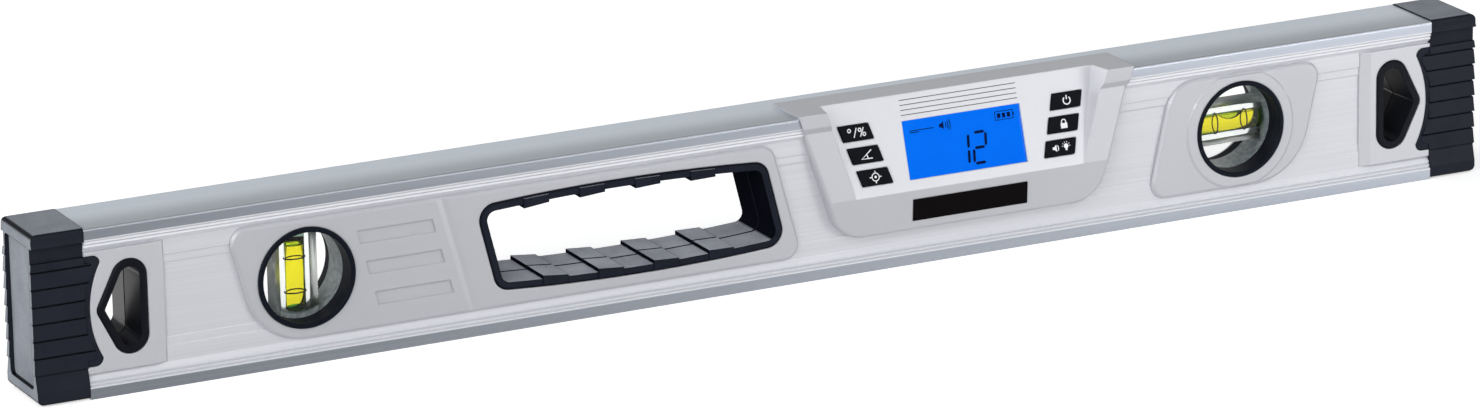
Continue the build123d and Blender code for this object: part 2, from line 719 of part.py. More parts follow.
def grip_block(x, side):
    """A raised block at `x` on the upper (side 1) or lower (side -1) edge, highest at its left end."""
    front = COVER_HALF + GRIP_PROUD
    z = MIDLINE + side * HANDLE_HEIGHT / 2
    wedge = Pos(x, z) * Rot(0, 0, side * GRIP_BLOCK_WEDGE) * Pos(-x, -z)
    keep = wedge * handle_outline(GRIP_WALL + GRIP_BLOCK_RISE)
    lane = Pos(x, z) * Rectangle(GRIP_BLOCK_LENGTH, HANDLE_HEIGHT / 2)
    ridge = handle_outline(GRIP_WALL) - keep
    rim = handle_outline(GRIP_LIP) - keep
    block = slab(ridge & lane, GRIP_PARTING, front)
    return block + slab(rim & lane, front - GRIP_LIP, front + GRIP_BLOCK_PROUD)


def handle_grip():
    """Front half of the grip: a rubber sleeve with raised blocks along its long sides."""
    front = COVER_HALF + GRIP_PROUD
    sleeve = slab(handle_outline(0), SEAT_GAP / 2, front)
    sleeve = chamfer(front_edges(sleeve), GRIP_LIP)
    sleeve -= slab(handle_outline(GRIP_WALL), 0, HALF_WIDTH)
    sleeve -= slab(handle_outline(GRIP_WALL - GRIP_PARTING), 0, GRIP_PARTING)
    for side, shift in ((1, 0), (-1, GRIP_BLOCK_SHIFT)):
        for place in range(GRIP_BLOCK_COUNT):
            x = HANDLE_LEFT + GRIP_BLOCK_FROM_END + shift + place * GRIP_BLOCK_PITCH
            sleeve += grip_block(x, side)
    return sleeve


# Display housing
def panel_half_width(rise):
    return PANEL_FOOT_WIDTH / 2 + rise * tan(radians(PANEL_LEAN))


def trapezium(low, high, low_half, high_half, corner):
    face = polygon([(-low_half, low), (low_half, low), (high_half, high), (-high_half, high)])
    face = fillet(face.vertices().group_by(Axis.Y)[0], corner)
    return Pos(DISPLAY_X, 0) * face


def housing_outline(low, high):
    return trapezium(low, high, housing_half_width(low), housing_half_width(high), HOUSING_CORNER)


def slope_rise(z):
    """Distance up the panel's slope at height z on its face."""
    return (z - HOUSING_BROW_Z) / cos(radians(PANEL_TILT))


def tub_outline(inset):
    """The box behind the panel, let into the beam."""
    low = TUB_FOOT + inset
    low_half = panel_half_width(slope_rise(low)) + TUB_MARGIN - inset
    high_half = panel_half_width(slope_rise(HOUSING_TOP)) + TUB_MARGIN - inset
    return trapezium(low, HOUSING_TOP, low_half, high_half, HOUSING_CORNER / 2)


def housing_front_profile():
    """The front shell's side view: shoulder band, neck, sloping shoulder, brow and chin."""
    band = HALF_WIDTH + SHOULDER_BAND_PROUD
    band_low = HOUSING_TOP - SHOULDER_BAND
    points = [
        (HOUSING_ROOF_BACK, HOUSING_TOP),
        (-band, HOUSING_TOP),
        (-band, band_low),
        (-band + SHOULDER_STEP_IN, band_low - SHOULDER_STEP),
        (-BROW_HALF, HOUSING_BROW_Z),
        (-BROW_HALF + HOUSING_CHIN_IN, HOUSING_BOTTOM),
        (HOUSING_ROOF_BACK, HOUSING_BOTTOM),
    ]
    return polygon(points)


def behind_panel(depth, low, high):
    """Everything behind a plane `depth` under the panel's face, between two heights."""
    tilt = tan(radians(PANEL_TILT))
    sink = depth / cos(radians(PANEL_TILT))
    foot = -BROW_HALF + sink
    chin = -BROW_HALF + HOUSING_CHIN_IN + depth
    points = [
        (HALF_WIDTH, low),
        (chin, low),
        (foot, HOUSING_BROW_Z),
        (foot + (high - HOUSING_BROW_Z) * tilt, high),
        (HALF_WIDTH, high),
    ]
    return bar_along(polygon(points), DISPLAY_X - LENGTH, DISPLAY_X + LENGTH)


def on_panel(face, out, depth):
    """A face drawn on the panel, as a solid from `out` in front of it to `depth` behind it."""
    return extrude(PANEL.offset(-depth) * face, out + depth)


def key_place(side, row):
    return Pos(side * (KEY_TOP_OUT - row * KEY_ROW_STEP), KEY_TOP_RISE - row * KEY_ROW_PITCH)


def key_face(side, grow):
    return leaning_bar(KEY_WIDTH + 2 * grow, KEY_HEIGHT + 2 * grow, side * KEY_LEAN)


def screen_face(grow):
    return Pos(0, SCREEN_RISE) * Rectangle(SCREEN_WIDTH + 2 * grow, SCREEN_HEIGHT + 2 * grow)


POST_OUT = SCREEN_WIDTH / 2 + LCD_MARGIN + POST_RADIUS + POST_GAP
POST_PLACES = [
    (side * POST_OUT, rise)
    for side in (-1, 1)
    for rise in (BOARD_TOP - POST_INSET, BOARD_FOOT + POST_INSET)
]
SCREW_PLACES = [
    (DISPLAY_X + side * out, HOUSING_TOP - drop)
    for side in (-1, 1)
    for out, drop in ((SCREW_HIGH_OUT, SCREW_HIGH_DROP), (SCREW_LOW_OUT, SCREW_LOW_DROP))
]


def plate_plane():
    """The chin's own face, at the middle of its bare plate."""
    lean = HOUSING_CHIN_IN / (HOUSING_BROW_Z - HOUSING_BOTTOM)
    y = -BROW_HALF + (HOUSING_BROW_Z - PLATE_Z) * lean
    return Plane(origin=(DISPLAY_X, y, PLATE_Z), x_dir=(1, 0, 0), z_dir=(0, -1, -lean))


def housing_skin():
    """The housing's outer form before it is hollowed, its rim softened below the shoulder band."""
    skin = slab(housing_outline(HOUSING_BOTTOM, HOUSING_TOP), -HOUSING_ROOF_BACK, 2 * HALF_WIDTH)
    skin &= bar_along(housing_front_profile(), DISPLAY_X - LENGTH, DISPLAY_X + LENGTH)
    shoulder_top = HOUSING_TOP - SHOULDER_BAND - SHOULDER_STEP
    rim = skin.edges().filter_by_position(Axis.Z, HOUSING_BOTTOM, shoulder_top)
    rim = rim.filter_by_position(Axis.Y, -BROW_HALF, -HALF_WIDTH, inclusive=(False, False))
    return fillet(rim, HOUSING_EDGE)


def display_front():
    skin = housing_skin()
    shoulders = skin - beam_envelope(LENGTH / 2)
    tub = skin & slab(tub_outline(0), -TUB_BACK, 2 * HALF_WIDTH)
    top = slope_rise(HOUSING_TOP) + HOUSING_WALL
    recess = polygon([
        (-panel_half_width(0), 0),
        (panel_half_width(0), 0),
        (panel_half_width(top), top),
        (-panel_half_width(top), top),
    ])
    recess = extrude(PANEL * recess, HALF_WIDTH, taper=-PANEL_SPLAY)
    hollow = slab(tub_outline(HOUSING_WALL), -HALF_WIDTH, 2 * HALF_WIDTH)
    hollow &= behind_panel(HOUSING_WALL, TUB_FOOT + HOUSING_WALL, HOUSING_TOP - HOUSING_WALL)
    shell = shoulders + tub - recess - hollow
    inside = behind_panel(HOUSING_WALL / 2, TUB_FOOT, HOUSING_TOP - HOUSING_WALL) & tub
    for x, z in SCREW_PLACES:
        shell += slab(Pos(x, z) * Circle(BOSS_RADIUS), -TUB_BACK, 2 * HALF_WIDTH) & inside
    for x, rise in POST_PLACES:
        shell += on_panel(Pos(x, rise) * Circle(POST_RADIUS), -HOUSING_WALL / 2, BOARD_FACE)
    shell -= on_panel(screen_face(SEAT_GAP), HALF_WIDTH, HOUSING_WALL + SEAT_GAP)
    for side in (-1, 1):
        for row in range(KEY_ROWS):
            hole = key_place(side, row) * key_face(side, MOVING_GAP)
            shell -= on_panel(hole, HALF_WIDTH, HOUSING_WALL + SEAT_GAP)
    for x, z in SCREW_PLACES:
        hole = Pos(x, z) * Circle(SCREW_RADIUS + SEAT_GAP)
        shell -= slab(hole, -TUB_BACK, -TUB_BACK + SCREW_GRIP + SEAT_GAP)
    seat = Rectangle(PLATE_WIDTH + 2 * SEAT_GAP, PLATE_HEIGHT + 2 * SEAT_GAP)
    return shell - extrude(plate_plane().offset(-PLATE_SINK) * seat, HALF_WIDTH)


def display_pieces():
    lens = on_panel(screen_face(0), -LENS_SINK, LENS_SINK + LENS_THICK)
    lcd = on_panel(screen_face(LCD_MARGIN), -HOUSING_WALL - SEAT_GAP, BOARD_FACE - SEAT_GAP)
    mats = []
    for side in (-1, 1):
        middle = side * (KEY_TOP_OUT - KEY_ROW_STEP * (KEY_ROWS - 1) / 2)
        pad = leaning_bar(MAT_WIDTH, MAT_TOP - MAT_FOOT, side * KEY_LEAN)
        mats.append(on_panel(Pos(middle, (MAT_TOP + MAT_FOOT) / 2) * pad, -MAT_FACE, BOARD_FACE))
    board = Pos(0, (BOARD_TOP + BOARD_FOOT) / 2) * Rectangle(BOARD_WIDTH, BOARD_TOP - BOARD_FOOT)
    back = BOARD_FACE + BOARD_THICK
    sensor = Rectangle(SENSOR_WIDTH, SENSOR_HEIGHT)
    sensor = Pos(-BOARD_PIECE_OUT - SENSOR_WIDTH / 2, BOARD_PIECE_RISE) * sensor
    buzzer = Pos(BOARD_PIECE_OUT + BUZZER_RADIUS, BOARD_PIECE_RISE) * Circle(BUZZER_RADIUS)
    plate = Rectangle(PLATE_WIDTH, PLATE_HEIGHT)
    plate = extrude(plate_plane().offset(-PLATE_SINK) * plate, PLATE_THICK)
    plate_rim = plate.edges().filter_by(plate_plane()).group_by(Axis.Y)[0]
    return {
        "display_lens": lens,
        "lcd_module": lcd,
        "keypad_mats": Compound(mats),
        "circuit_board": on_panel(board, -BOARD_FACE, back),
        "tilt_sensor": on_panel(sensor, -back, back + SENSOR_THICK),
        "buzzer": on_panel(buzzer, -back, back + BUZZER_THICK),
        "front_plate": chamfer(plate_rim, PLATE_THICK / 3),
    }


def key(side, row):
    """A rubber key through the panel wall, with a flange that holds it in from behind."""
    cap = on_panel(key_place(side, row) * key_face(side, 0), KEY_PROUD, HOUSING_WALL + MOVING_GAP)
    flange = key_place(side, row) * key_face(side, KEY_FLANGE)
    foot = HOUSING_WALL + MOVING_GAP
    return cap + on_panel(flange, -foot, foot + KEY_FLANGE_THICK)


# Battery housing on the back
def well_outline(inset):
    """Outer rim of the battery well, seen from the front."""
    width = WELL_LENGTH + 2 * WELL_WALL - 2 * inset
    return Pos(DISPLAY_X, BATTERY_Z) * Rectangle(width, WELL_HEIGHT + 2 * WELL_WALL - 2 * inset)


def cover_face(grow):
    width = WELL_LENGTH + 2 * COVER_LEDGE
    face = Rectangle(width, WELL_HEIGHT + 2 * COVER_LEDGE)
    face = fillet(face.vertices(), COVER_CORNER)
    face = offset(face, grow) if grow else face
    return Pos(DISPLAY_X, BATTERY_Z) * face


def display_back():
    outline = housing_outline(HOUSING_BOTTOM, COVER_HIGH - BACK_TOP_MARGIN)
    plate = back_twin(softened(seated(outline, BACK_HALF)))
    floor = BATTERY_Y - BATTERY_RADIUS - WELL_GAP
    shell = plate + slab(well_outline(0), -WEB_HALF, WELL_FLOOR - floor)
    shell -= slab(well_outline(WELL_WALL), -BACK_HALF, -floor)
    shell -= slab(cover_face(MOVING_GAP), -2 * HALF_WIDTH, -BACK_HALF + COVER_THICK + MOVING_GAP)
    for x, z in SCREW_PLACES:
        shank = Pos(x, z) * Circle(SCREW_RADIUS + SEAT_GAP)
        head = Pos(x, z) * Circle(SCREW_HEAD_RADIUS + SEAT_GAP)
        shell -= slab(shank, -2 * HALF_WIDTH, 0)
        shell -= slab(head, -2 * HALF_WIDTH, -BACK_HALF + SCREW_HEAD)
    return shell


def battery_cover():
    cover = slab(cover_face(0), -BACK_HALF, -BACK_HALF + COVER_THICK)
    rim = cover.faces().sort_by(Axis.Y)[-1].outer_wire().edges()
    cover = chamfer(rim, PLATE_SINK)
    latch_z = BATTERY_Z + WELL_HEIGHT / 2 + COVER_LEDGE - LATCH_HEIGHT
    notch = Pos(DISPLAY_X, latch_z) * Rectangle(LATCH_WIDTH, LATCH_HEIGHT)
    return cover - slab(notch, -BACK_HALF, -BACK_HALF + LATCH_DEPTH)


def battery(row):
    """A round cell lying along the beam; the upper one points the other way."""
    turn = 1 if row == 0 else -1
    cell = rod(BATTERY_RADIUS, -BATTERY_LENGTH / 2, BATTERY_LENGTH / 2 - BATTERY_NUB)
    cell = chamfer(cell.edges(), BATTERY_NUB / 2)
    cell += rod(BATTERY_NUB_RADIUS, BATTERY_LENGTH / 2 - BATTERY_NUB, BATTERY_LENGTH / 2)
    z = BATTERY_Z + (row - 0.5) * BATTERY_PITCH
    return Pos(DISPLAY_X, BATTERY_Y, z) * Rot(0, turn * 90, 0) * cell


def battery_contacts():
    """A metal leaf with a sprung cone at each end of each cell."""
    reach = (WELL_LENGTH - BATTERY_LENGTH) / 2
    on_foot = (Align.CENTER, Align.CENTER, Align.MIN)
    leaf = Box(CONTACT_WIDTH, CONTACT_WIDTH, CONTACT_THICK, align=on_foot)
    cone = Cone(CONTACT_BASE, CONTACT_TIP, reach, align=on_foot)
    contacts = []
    for row in (0, 1):
        z = BATTERY_Z + (row - 0.5) * BATTERY_PITCH
        for side in (-1, 1):
            place = Pos(DISPLAY_X + side * WELL_LENGTH / 2, BATTERY_Y, z) * Rot(0, -side * 90, 0)
            contacts.append(place * (leaf + cone))
    return Compound(contacts)


def housing_screws():
    screws = []
    for x, z in SCREW_PLACES:
        head = slab(Pos(x, z) * Circle(SCREW_HEAD_RADIUS), -BACK_HALF, -BACK_HALF + SCREW_HEAD)
        shank = slab(Pos(x, z) * Circle(SCREW_RADIUS), -BACK_HALF + SCREW_HEAD, -TUB_BACK + SCREW_GRIP)
        screws.append(head + shank)
    return Compound(screws)


# The whole level, one entry for each piece
def pieces():
    made = {"beam": beam()}
    cap = end_cap()
    pad = end_pad()
    liner = finger_liner()
    for side, turn in (("right", lambda piece: piece), ("left", left_twin)):
        made["end_cap_" + side] = turn(cap)
        made["end_pad_%s_front" % side] = turn(pad)
        made["end_pad_%s_back" % side] = back_twin(turn(pad))
        made["finger_liner_%s_front" % side] = turn(liner)
        made["finger_liner_%s_back" % side] = back_twin(turn(liner))
    faces = {"long_cover": long_cover(), "short_cover": short_cover(), "handle_grip": handle_grip()}
    for name, face in faces.items():
        made[name + "_front"] = face
        made[name + "_back"] = back_twin(face)
    upright = Pos(PLUMB_X, 0, MIDLINE)
    lying = Pos(LEVEL_X, 0, MIDLINE) * Rot(0, -90, 0)
    for window, place, bubble in (("plumb", upright, disc_bubble()), ("level", lying, lens_bubble())):
        made[window + "_bezel"] = place * bezel()
        made[window + "_retainer"] = place * retainer()
        for name, piece in upright_vial(*bubble).items():
            made["%s_vial_%s" % (window, name)] = place * piece
    made["display_front"] = display_front()
    made["display_back"] = display_back()
    made.update(display_pieces())
    for side, column in ((-1, "left"), (1, "right")):
        for row, height in enumerate(("top", "middle", "bottom")):
            made["key_%s_%s" % (column, height)] = key(side, row)
    made["battery_cover"] = battery_cover()
    made["battery_lower"] = battery(0)
    made["battery_upper"] = battery(1)
    made["battery_contacts"] = battery_contacts()
    made["housing_screws"] = housing_screws()
    return made


os.makedirs("parts", exist_ok=True)
for name, piece in pieces().items():
    export_step(piece, "parts/%s.step" % name)
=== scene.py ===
# %% [markdown]
# # A digital spirit level, dressed in Blender
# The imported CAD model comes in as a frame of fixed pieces. This lesson lights it, gives each piece the
# finish of its real material, and adds what is too fine for the CAD: printed signs, the picture on the
# screen, screw heads, and clear vials that bend the light. Lengths are written in millimetres and turned
# to metres where a mesh or a node needs them; places of lamps are written in metres.

# %% Load the frame and keep its size
import json
from math import acos, cos, pi, radians, sin

import bmesh
import bpy
from mathutils import Matrix, Vector


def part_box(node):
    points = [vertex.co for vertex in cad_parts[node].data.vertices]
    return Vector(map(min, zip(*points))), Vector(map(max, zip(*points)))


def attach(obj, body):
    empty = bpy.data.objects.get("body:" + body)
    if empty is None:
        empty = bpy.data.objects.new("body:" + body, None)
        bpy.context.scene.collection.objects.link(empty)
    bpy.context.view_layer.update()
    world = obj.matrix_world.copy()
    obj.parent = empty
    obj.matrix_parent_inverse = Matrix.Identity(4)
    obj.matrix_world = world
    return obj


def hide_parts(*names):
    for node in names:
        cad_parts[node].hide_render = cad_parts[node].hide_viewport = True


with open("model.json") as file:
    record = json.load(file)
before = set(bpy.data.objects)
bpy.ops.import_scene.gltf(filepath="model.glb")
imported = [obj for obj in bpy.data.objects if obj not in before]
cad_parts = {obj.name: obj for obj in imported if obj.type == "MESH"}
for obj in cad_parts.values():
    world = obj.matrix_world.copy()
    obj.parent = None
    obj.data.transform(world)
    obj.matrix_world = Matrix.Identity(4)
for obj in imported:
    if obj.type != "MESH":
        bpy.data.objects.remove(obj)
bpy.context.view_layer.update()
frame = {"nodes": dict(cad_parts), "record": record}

MM = 0.001
scene = bpy.context.scene
scene.view_settings.view_transform = "Standard"

# %% [markdown]
# ## Camera
# The photograph was taken from far away with a long lens, from the front left and a little above, and
# the camera was held slightly off level. A turn about the vertical, a tilt and a small roll say that
# better than a list of numbers for a matrix, so the camera's axes are worked out from those angles.

# %% Camera at the photograph's view
PHOTO_WIDTH = 1480
FOCAL_PIXELS = 7345
SENSOR_WIDTH = 36
TURN, TILT, ROLL = radians(26.147), radians(16.715), radians(-1.02)
AIM = Vector((-13.34, -1.5, 29.55)) * MM
CAMERA_DISTANCE = 2739 * MM

ahead = Vector((sin(TURN) * cos(TILT), cos(TURN) * cos(TILT), -sin(TILT)))
level_right = Vector((cos(TURN), -sin(TURN), 0))
level_up = level_right.cross(ahead)
right = cos(ROLL) * level_right + sin(ROLL) * level_up
up = cos(ROLL) * level_up - sin(ROLL) * level_right

lens = bpy.data.cameras.new("camera")
lens.sensor_width = SENSOR_WIDTH
lens.lens = FOCAL_PIXELS / PHOTO_WIDTH * SENSOR_WIDTH
camera = bpy.data.objects.new("camera", lens)
scene.collection.objects.link(camera)
camera.matrix_world = Matrix((right, up, -ahead)).transposed().to_4x4()
camera.location = AIM - CAMERA_DISTANCE * ahead
scene.camera = camera
print("camera: lens %.1f mm at" % lens.lens, [round(v, 3) for v in camera.location])

# %% [markdown]
# ## Adding shader nodes
# Every material below is a small tree of nodes. One function adds a node, sets its properties and its
# inputs, and links an input where it is given another node's output. Colours are written as sRGB hex
# values, as a paint program shows them, and one function turns them to the linear values of a shader.
# No real surface has one even tone, so another helper lets a tone drift softly between two colours.


# %% Helpers for all materials
def srgb(code):
    channels = [int(code[i:i + 2], 16) / 255 for i in (1, 3, 5)]
    linear = [c / 12.92 if c <= 0.04045 else ((c + 0.055) / 1.055) ** 2.4 for c in channels]
    return (*linear, 1.0)


def add(tree, kind, inputs=None, **settings):
    """Add one node; `inputs` maps an input's name or number to a value or to an output to link."""
    node = tree.nodes.new(kind)
    for name, value in settings.items():
        setattr(node, name, value)
    for name, value in (inputs or {}).items():
        if isinstance(value, bpy.types.NodeSocket):
            tree.links.new(value, node.inputs[name])
        else:
            node.inputs[name].default_value = value
    return node


def new_material(name):
    material = bpy.data.materials.new(name)
    material.use_nodes = True
    material.node_tree.nodes.clear()
    return material, material.node_tree


def drifting(tree, spot, dark, pale):
    """A tone that drifts between two colours in spots of a given size: the noise and the colour."""
    where = add(tree, "ShaderNodeTexCoord")
    noise = add(tree, "ShaderNodeTexNoise", {"Vector": where.outputs["Object"], "Scale": 1 / spot})
    tone = add(tree, "ShaderNodeMix", {"Factor": noise.outputs[0], "A": srgb(dark), "B": srgb(pale)},
               data_type="RGBA")
    return noise.outputs[0], tone.outputs["Result"]


print("mid grey #808080 is %.3f in linear light" % srgb("#808080")[0])

# %% [markdown]
# ## Floor and light
# The level stands on a white studio floor. The floor is a plain matt white, and for the rays that the
# eye or a glass sees it by, it gets a little light of its own, so that it reads as white and still keeps
# the level's soft shadow. What a mirror sees of it grows brighter towards the right and the back, as in
# the photograph, where the rails run from grey to nearly white. The light is a pale room with large soft
# lamps, at a level at which a colour renders about as it is written.

# %% White floor that keeps the shadow
PAINT_WHITE = 0.86
OWN_LIGHT = 0.5
material, tree = new_material("studio_floor")
path = add(tree, "ShaderNodeLightPath")
seen = add(tree, "ShaderNodeMath", {
    0: path.outputs["Is Camera Ray"], 1: path.outputs["Is Transmission Ray"],
}, operation="MAXIMUM")
lift = add(tree, "ShaderNodeMath", {0: seen.outputs[0], 1: OWN_LIGHT}, operation="MULTIPLY")
paint = add(tree, "ShaderNodeBsdfDiffuse", {"Color": (PAINT_WHITE, PAINT_WHITE, PAINT_WHITE, 1)})
own_light = add(tree, "ShaderNodeEmission", {"Color": (1, 1, 1, 1), "Strength": lift.outputs[0]})
white = add(tree, "ShaderNodeAddShader", {0: paint.outputs[0], 1: own_light.outputs[0]})
print("floor: white with", OWN_LIGHT, "of its own light")

# %% What a mirror sees of the floor
# Rays that pass glass count as glossy too, so a mirror ray is a glossy one that isn't a transmitted one.
GREY_LEFT, WHITE_RIGHT = -0.35, 0.45
BACK_NEAR, BACK_FAR = 0.02, 0.08
where = add(tree, "ShaderNodeTexCoord")
spot = add(tree, "ShaderNodeSeparateXYZ", {0: where.outputs["Object"]})
fade = add(tree, "ShaderNodeMapRange", {
    "Value": spot.outputs["X"], "From Min": GREY_LEFT, "From Max": WHITE_RIGHT, "To Min": 0.26,
    "To Max": 1.0,
})
behind = add(tree, "ShaderNodeMapRange", {
    "Value": spot.outputs["Y"], "From Min": BACK_NEAR, "From Max": BACK_FAR, "To Max": 0.65,
})
fade = add(tree, "ShaderNodeMath", {0: fade.outputs[0], 1: behind.outputs[0]}, operation="MAXIMUM")
mirrored = add(tree, "ShaderNodeEmission", {"Color": (1, 1, 1, 1), "Strength": fade.outputs[0]})
mirror_ray = add(tree, "ShaderNodeMath", {
    0: path.outputs["Is Glossy Ray"], 1: path.outputs["Is Transmission Ray"],
}, operation="SUBTRACT", use_clamp=True)
both = add(tree, "ShaderNodeMixShader", {
    0: mirror_ray.outputs[0], 1: white.outputs[0], 2: mirrored.outputs[0],
})
add(tree, "ShaderNodeOutputMaterial", {"Surface": both.outputs[0]})
print("mirrored floor: grey at x =", GREY_LEFT, "m, white at", WHITE_RIGHT, "m")

# %% Floor under the level
FLOOR_HALF = 6.0
FLOOR_DROP = 0.02 * MM    # just clear of the measuring base, so that the two faces don't flicker
mesh = bpy.data.meshes.new("floor")
corners = [(FLOOR_HALF * x, FLOOR_HALF * y, 0) for x, y in ((-1, -1), (1, -1), (1, 1), (-1, 1))]
mesh.from_pydata(corners, [], [(0, 1, 2, 3)])
mesh.materials.append(material)
floor = bpy.data.objects.new("floor", mesh)
floor.location.z = -FLOOR_DROP
scene.collection.objects.link(floor)
print("floor:", 2 * FLOOR_HALF, "m wide")

# %% Room that is a little paler towards the horizon
HORIZON_LIGHT, SKY_LIGHT = 0.38, 0.23
world = bpy.data.worlds.new("studio_room")
world.use_nodes = True
tree = world.node_tree
tree.nodes.clear()
where = add(tree, "ShaderNodeTexCoord")
parts = add(tree, "ShaderNodeSeparateXYZ", {0: where.outputs["Generated"]})
rise = add(tree, "ShaderNodeMapRange", {
    "Value": parts.outputs["Z"], "From Min": 0.0, "From Max": 0.7, "To Min": HORIZON_LIGHT,
    "To Max": SKY_LIGHT,
}, interpolation_type="SMOOTHSTEP")
sky = add(tree, "ShaderNodeBackground", {"Color": (0.97, 0.985, 1, 1), "Strength": rise.outputs[0]})
add(tree, "ShaderNodeOutputWorld", {"Surface": sky.outputs[0]})
scene.world = world
print("room:", world.name)


# %% Large soft lamps
def softbox(name, place, aim, width, height, watts):
    """A rectangular lamp at a place in metres, turned towards a point."""
    lamp = bpy.data.lights.new(name, "AREA")
    lamp.shape = "RECTANGLE"
    lamp.size = width
    lamp.size_y = height
    lamp.energy = watts
    holder = bpy.data.objects.new(name, lamp)
    holder.location = place
    holder.rotation_euler = (Vector(aim) - Vector(place)).to_track_quat("-Z", "Y").to_euler()
    scene.collection.objects.link(holder)


softbox("key_front_right", (1.0, -1.5, 1.6), (0, 0, 0), 2.0, 1.4, 11.5)
softbox("rail_strip", (0.85, -1.05, 0.13), (0.2, 0, 0.03), 0.5, 0.2, 3.5)
softbox("left_window", (-1.6, 1.1, 0.8), (-0.3, 0, 0), 2.4, 1.8, 13)
softbox("back_panel", (1.2, 2.4, 0.9), (0, 0, 0), 3.0, 1.2, 6)
softbox("front_fill", (-1.3, -1.4, 0.8), (-0.1, 0, 0), 2.0, 1.6, 18.5)
softbox("left_side", (-4.0, -1.0, 2.05), (0, 0, 0), 6.0, 4.0, 88)

# %% [markdown]
# ## Anodised aluminium
# The beam is an aluminium extrusion with a satin anodised skin. The die leaves fine straight lines along
# the beam, which stretch its gloss across them, and the outer sides of the rails are milled to a darker,
# more mirror-like face. A noise that is stretched along the beam gives the lines. Real die lines are about
# 0.2 mm apart; they are drawn at 0.9 mm so that they show in the render. Web, ribs and rails lie at fixed
# heights on both sides of the beam's middle, so masks by height tell them apart.

# %% Beam: die lines along the extrusion
DIE_LINE = 0.9 * MM
LINE_STRETCH = 250    # times as long as wide
material, tree = new_material("anodised_aluminium_extruded")
where = add(tree, "ShaderNodeTexCoord")
stretch = add(tree, "ShaderNodeMapping", {
    "Vector": where.outputs["Object"], "Scale": (1 / LINE_STRETCH / DIE_LINE, 1 / DIE_LINE, 1 / DIE_LINE),
})
lines = add(tree, "ShaderNodeTexNoise", {
    "Vector": stretch.outputs[0], "Scale": 1.0, "Detail": 3.0, "Roughness": 0.6,
})
print("die lines drawn every", round(DIE_LINE / MM, 2), "mm")

# %% Beam: where the web, the ribs and the rails are
BEAM_MIDDLE = 31.75 * MM
WEB_EDGE = 23.0 * MM
FIRST_GROOVE, RIB_PITCH = 26.92 * MM, 1.3 * MM
RAIL_EDGE = 27.75 * MM
place = add(tree, "ShaderNodeSeparateXYZ", {0: where.outputs["Object"]})
from_middle = add(tree, "ShaderNodeMath", {0: place.outputs["Z"], 1: BEAM_MIDDLE}, operation="SUBTRACT")
from_middle = add(tree, "ShaderNodeMath", {0: from_middle.outputs[0]}, operation="ABSOLUTE")
past_web = add(tree, "ShaderNodeMapRange", {
    "Value": from_middle.outputs[0], "From Min": WEB_EDGE - 0.1 * MM, "From Max": WEB_EDGE + 0.1 * MM,
})
# Painted shade: the grooves between the ribs are darkened down to 0.8 of the tone, as shade in the creases.
to_groove = add(tree, "ShaderNodeMath", {0: from_middle.outputs[0], 1: FIRST_GROOVE}, operation="SUBTRACT")
to_groove = add(tree, "ShaderNodeMath", {0: to_groove.outputs[0], 1: RIB_PITCH / 2}, operation="PINGPONG")
painted_groove_shade = add(tree, "ShaderNodeMapRange", {
    "Value": to_groove.outputs[0], "From Min": 0.15 * MM, "From Max": 0.4 * MM, "To Min": 0.8,
    "To Max": 1.0,
})
in_ribs = add(tree, "ShaderNodeMath", {
    0: from_middle.outputs[0], 1: FIRST_GROOVE - RIB_PITCH / 2, 2: RIB_PITCH,
}, operation="COMPARE")
painted_groove_shade = add(tree, "ShaderNodeMix", {"Factor": in_ribs.outputs[0], "A": 1.0, "B": painted_groove_shade.outputs[0]})
on_rail = add(tree, "ShaderNodeMapRange", {
    "Value": from_middle.outputs[0], "From Min": RAIL_EDGE - 0.15 * MM, "From Max": RAIL_EDGE + 0.15 * MM,
})
around = add(tree, "ShaderNodeNewGeometry")
facing = add(tree, "ShaderNodeSeparateXYZ", {0: around.outputs["Normal"]})
sideways = add(tree, "ShaderNodeMath", {0: facing.outputs["Y"]}, operation="ABSOLUTE")
sideways = add(tree, "ShaderNodeMapRange", {"Value": sideways.outputs[0], "From Min": 0.6, "From Max": 0.95})
milled = add(tree, "ShaderNodeMath", {0: on_rail.outputs[0], 1: sideways.outputs[0]}, operation="MULTIPLY")
upward = add(tree, "ShaderNodeMapRange", {"Value": facing.outputs["Z"], "From Min": 0.85, "From Max": 0.98})
print("rails from", round(RAIL_EDGE / MM, 2), "mm off the middle")

# %% Beam: tone of each face
# The top face is painted darker towards its front edge, as in the photograph: a painted reflection of the
# room, which is brighter behind the level, so the flat face looks softly crowned.
TOP_SHADE_FRONT, TOP_SHADE_BACK = -12 * MM, 5 * MM
tone = add(tree, "ShaderNodeMix", {
    "Factor": past_web.outputs[0], "A": srgb("#D4D5DA"), "B": srgb("#E6E7EC"),
}, data_type="RGBA")
for mask, colour in ((milled, "#B6BCC6"), (upward, "#E0E9F2")):
    tone = add(tree, "ShaderNodeMix", {
        "Factor": mask.outputs[0], "A": tone.outputs["Result"], "B": srgb(colour),
    }, data_type="RGBA")
shade = add(tree, "ShaderNodeMapRange", {
    "Value": lines.outputs[0], "From Min": 0.3, "From Max": 0.7, "To Min": 0.92, "To Max": 1.0,
})
# Painted reflection: the top face darkens towards its front edge, down to 0.56 of its tone.
crown = add(tree, "ShaderNodeMapRange", {
    "Value": place.outputs["Y"], "From Min": TOP_SHADE_FRONT, "From Max": TOP_SHADE_BACK, "To Min": 0.56,
    "To Max": 0.9,
}, interpolation_type="SMOOTHSTEP")
crown = add(tree, "ShaderNodeMix", {"Factor": upward.outputs[0], "A": 1.0, "B": crown.outputs[0]})
for factor in (shade.outputs[0], painted_groove_shade.outputs["Result"], crown.outputs["Result"]):
    tone = add(tree, "ShaderNodeMix", {"Factor": 1.0, "A": tone.outputs["Result"], "B": factor},
               data_type="RGBA", blend_type="MULTIPLY")
print("beam: tones for web, ribs, rails and top")

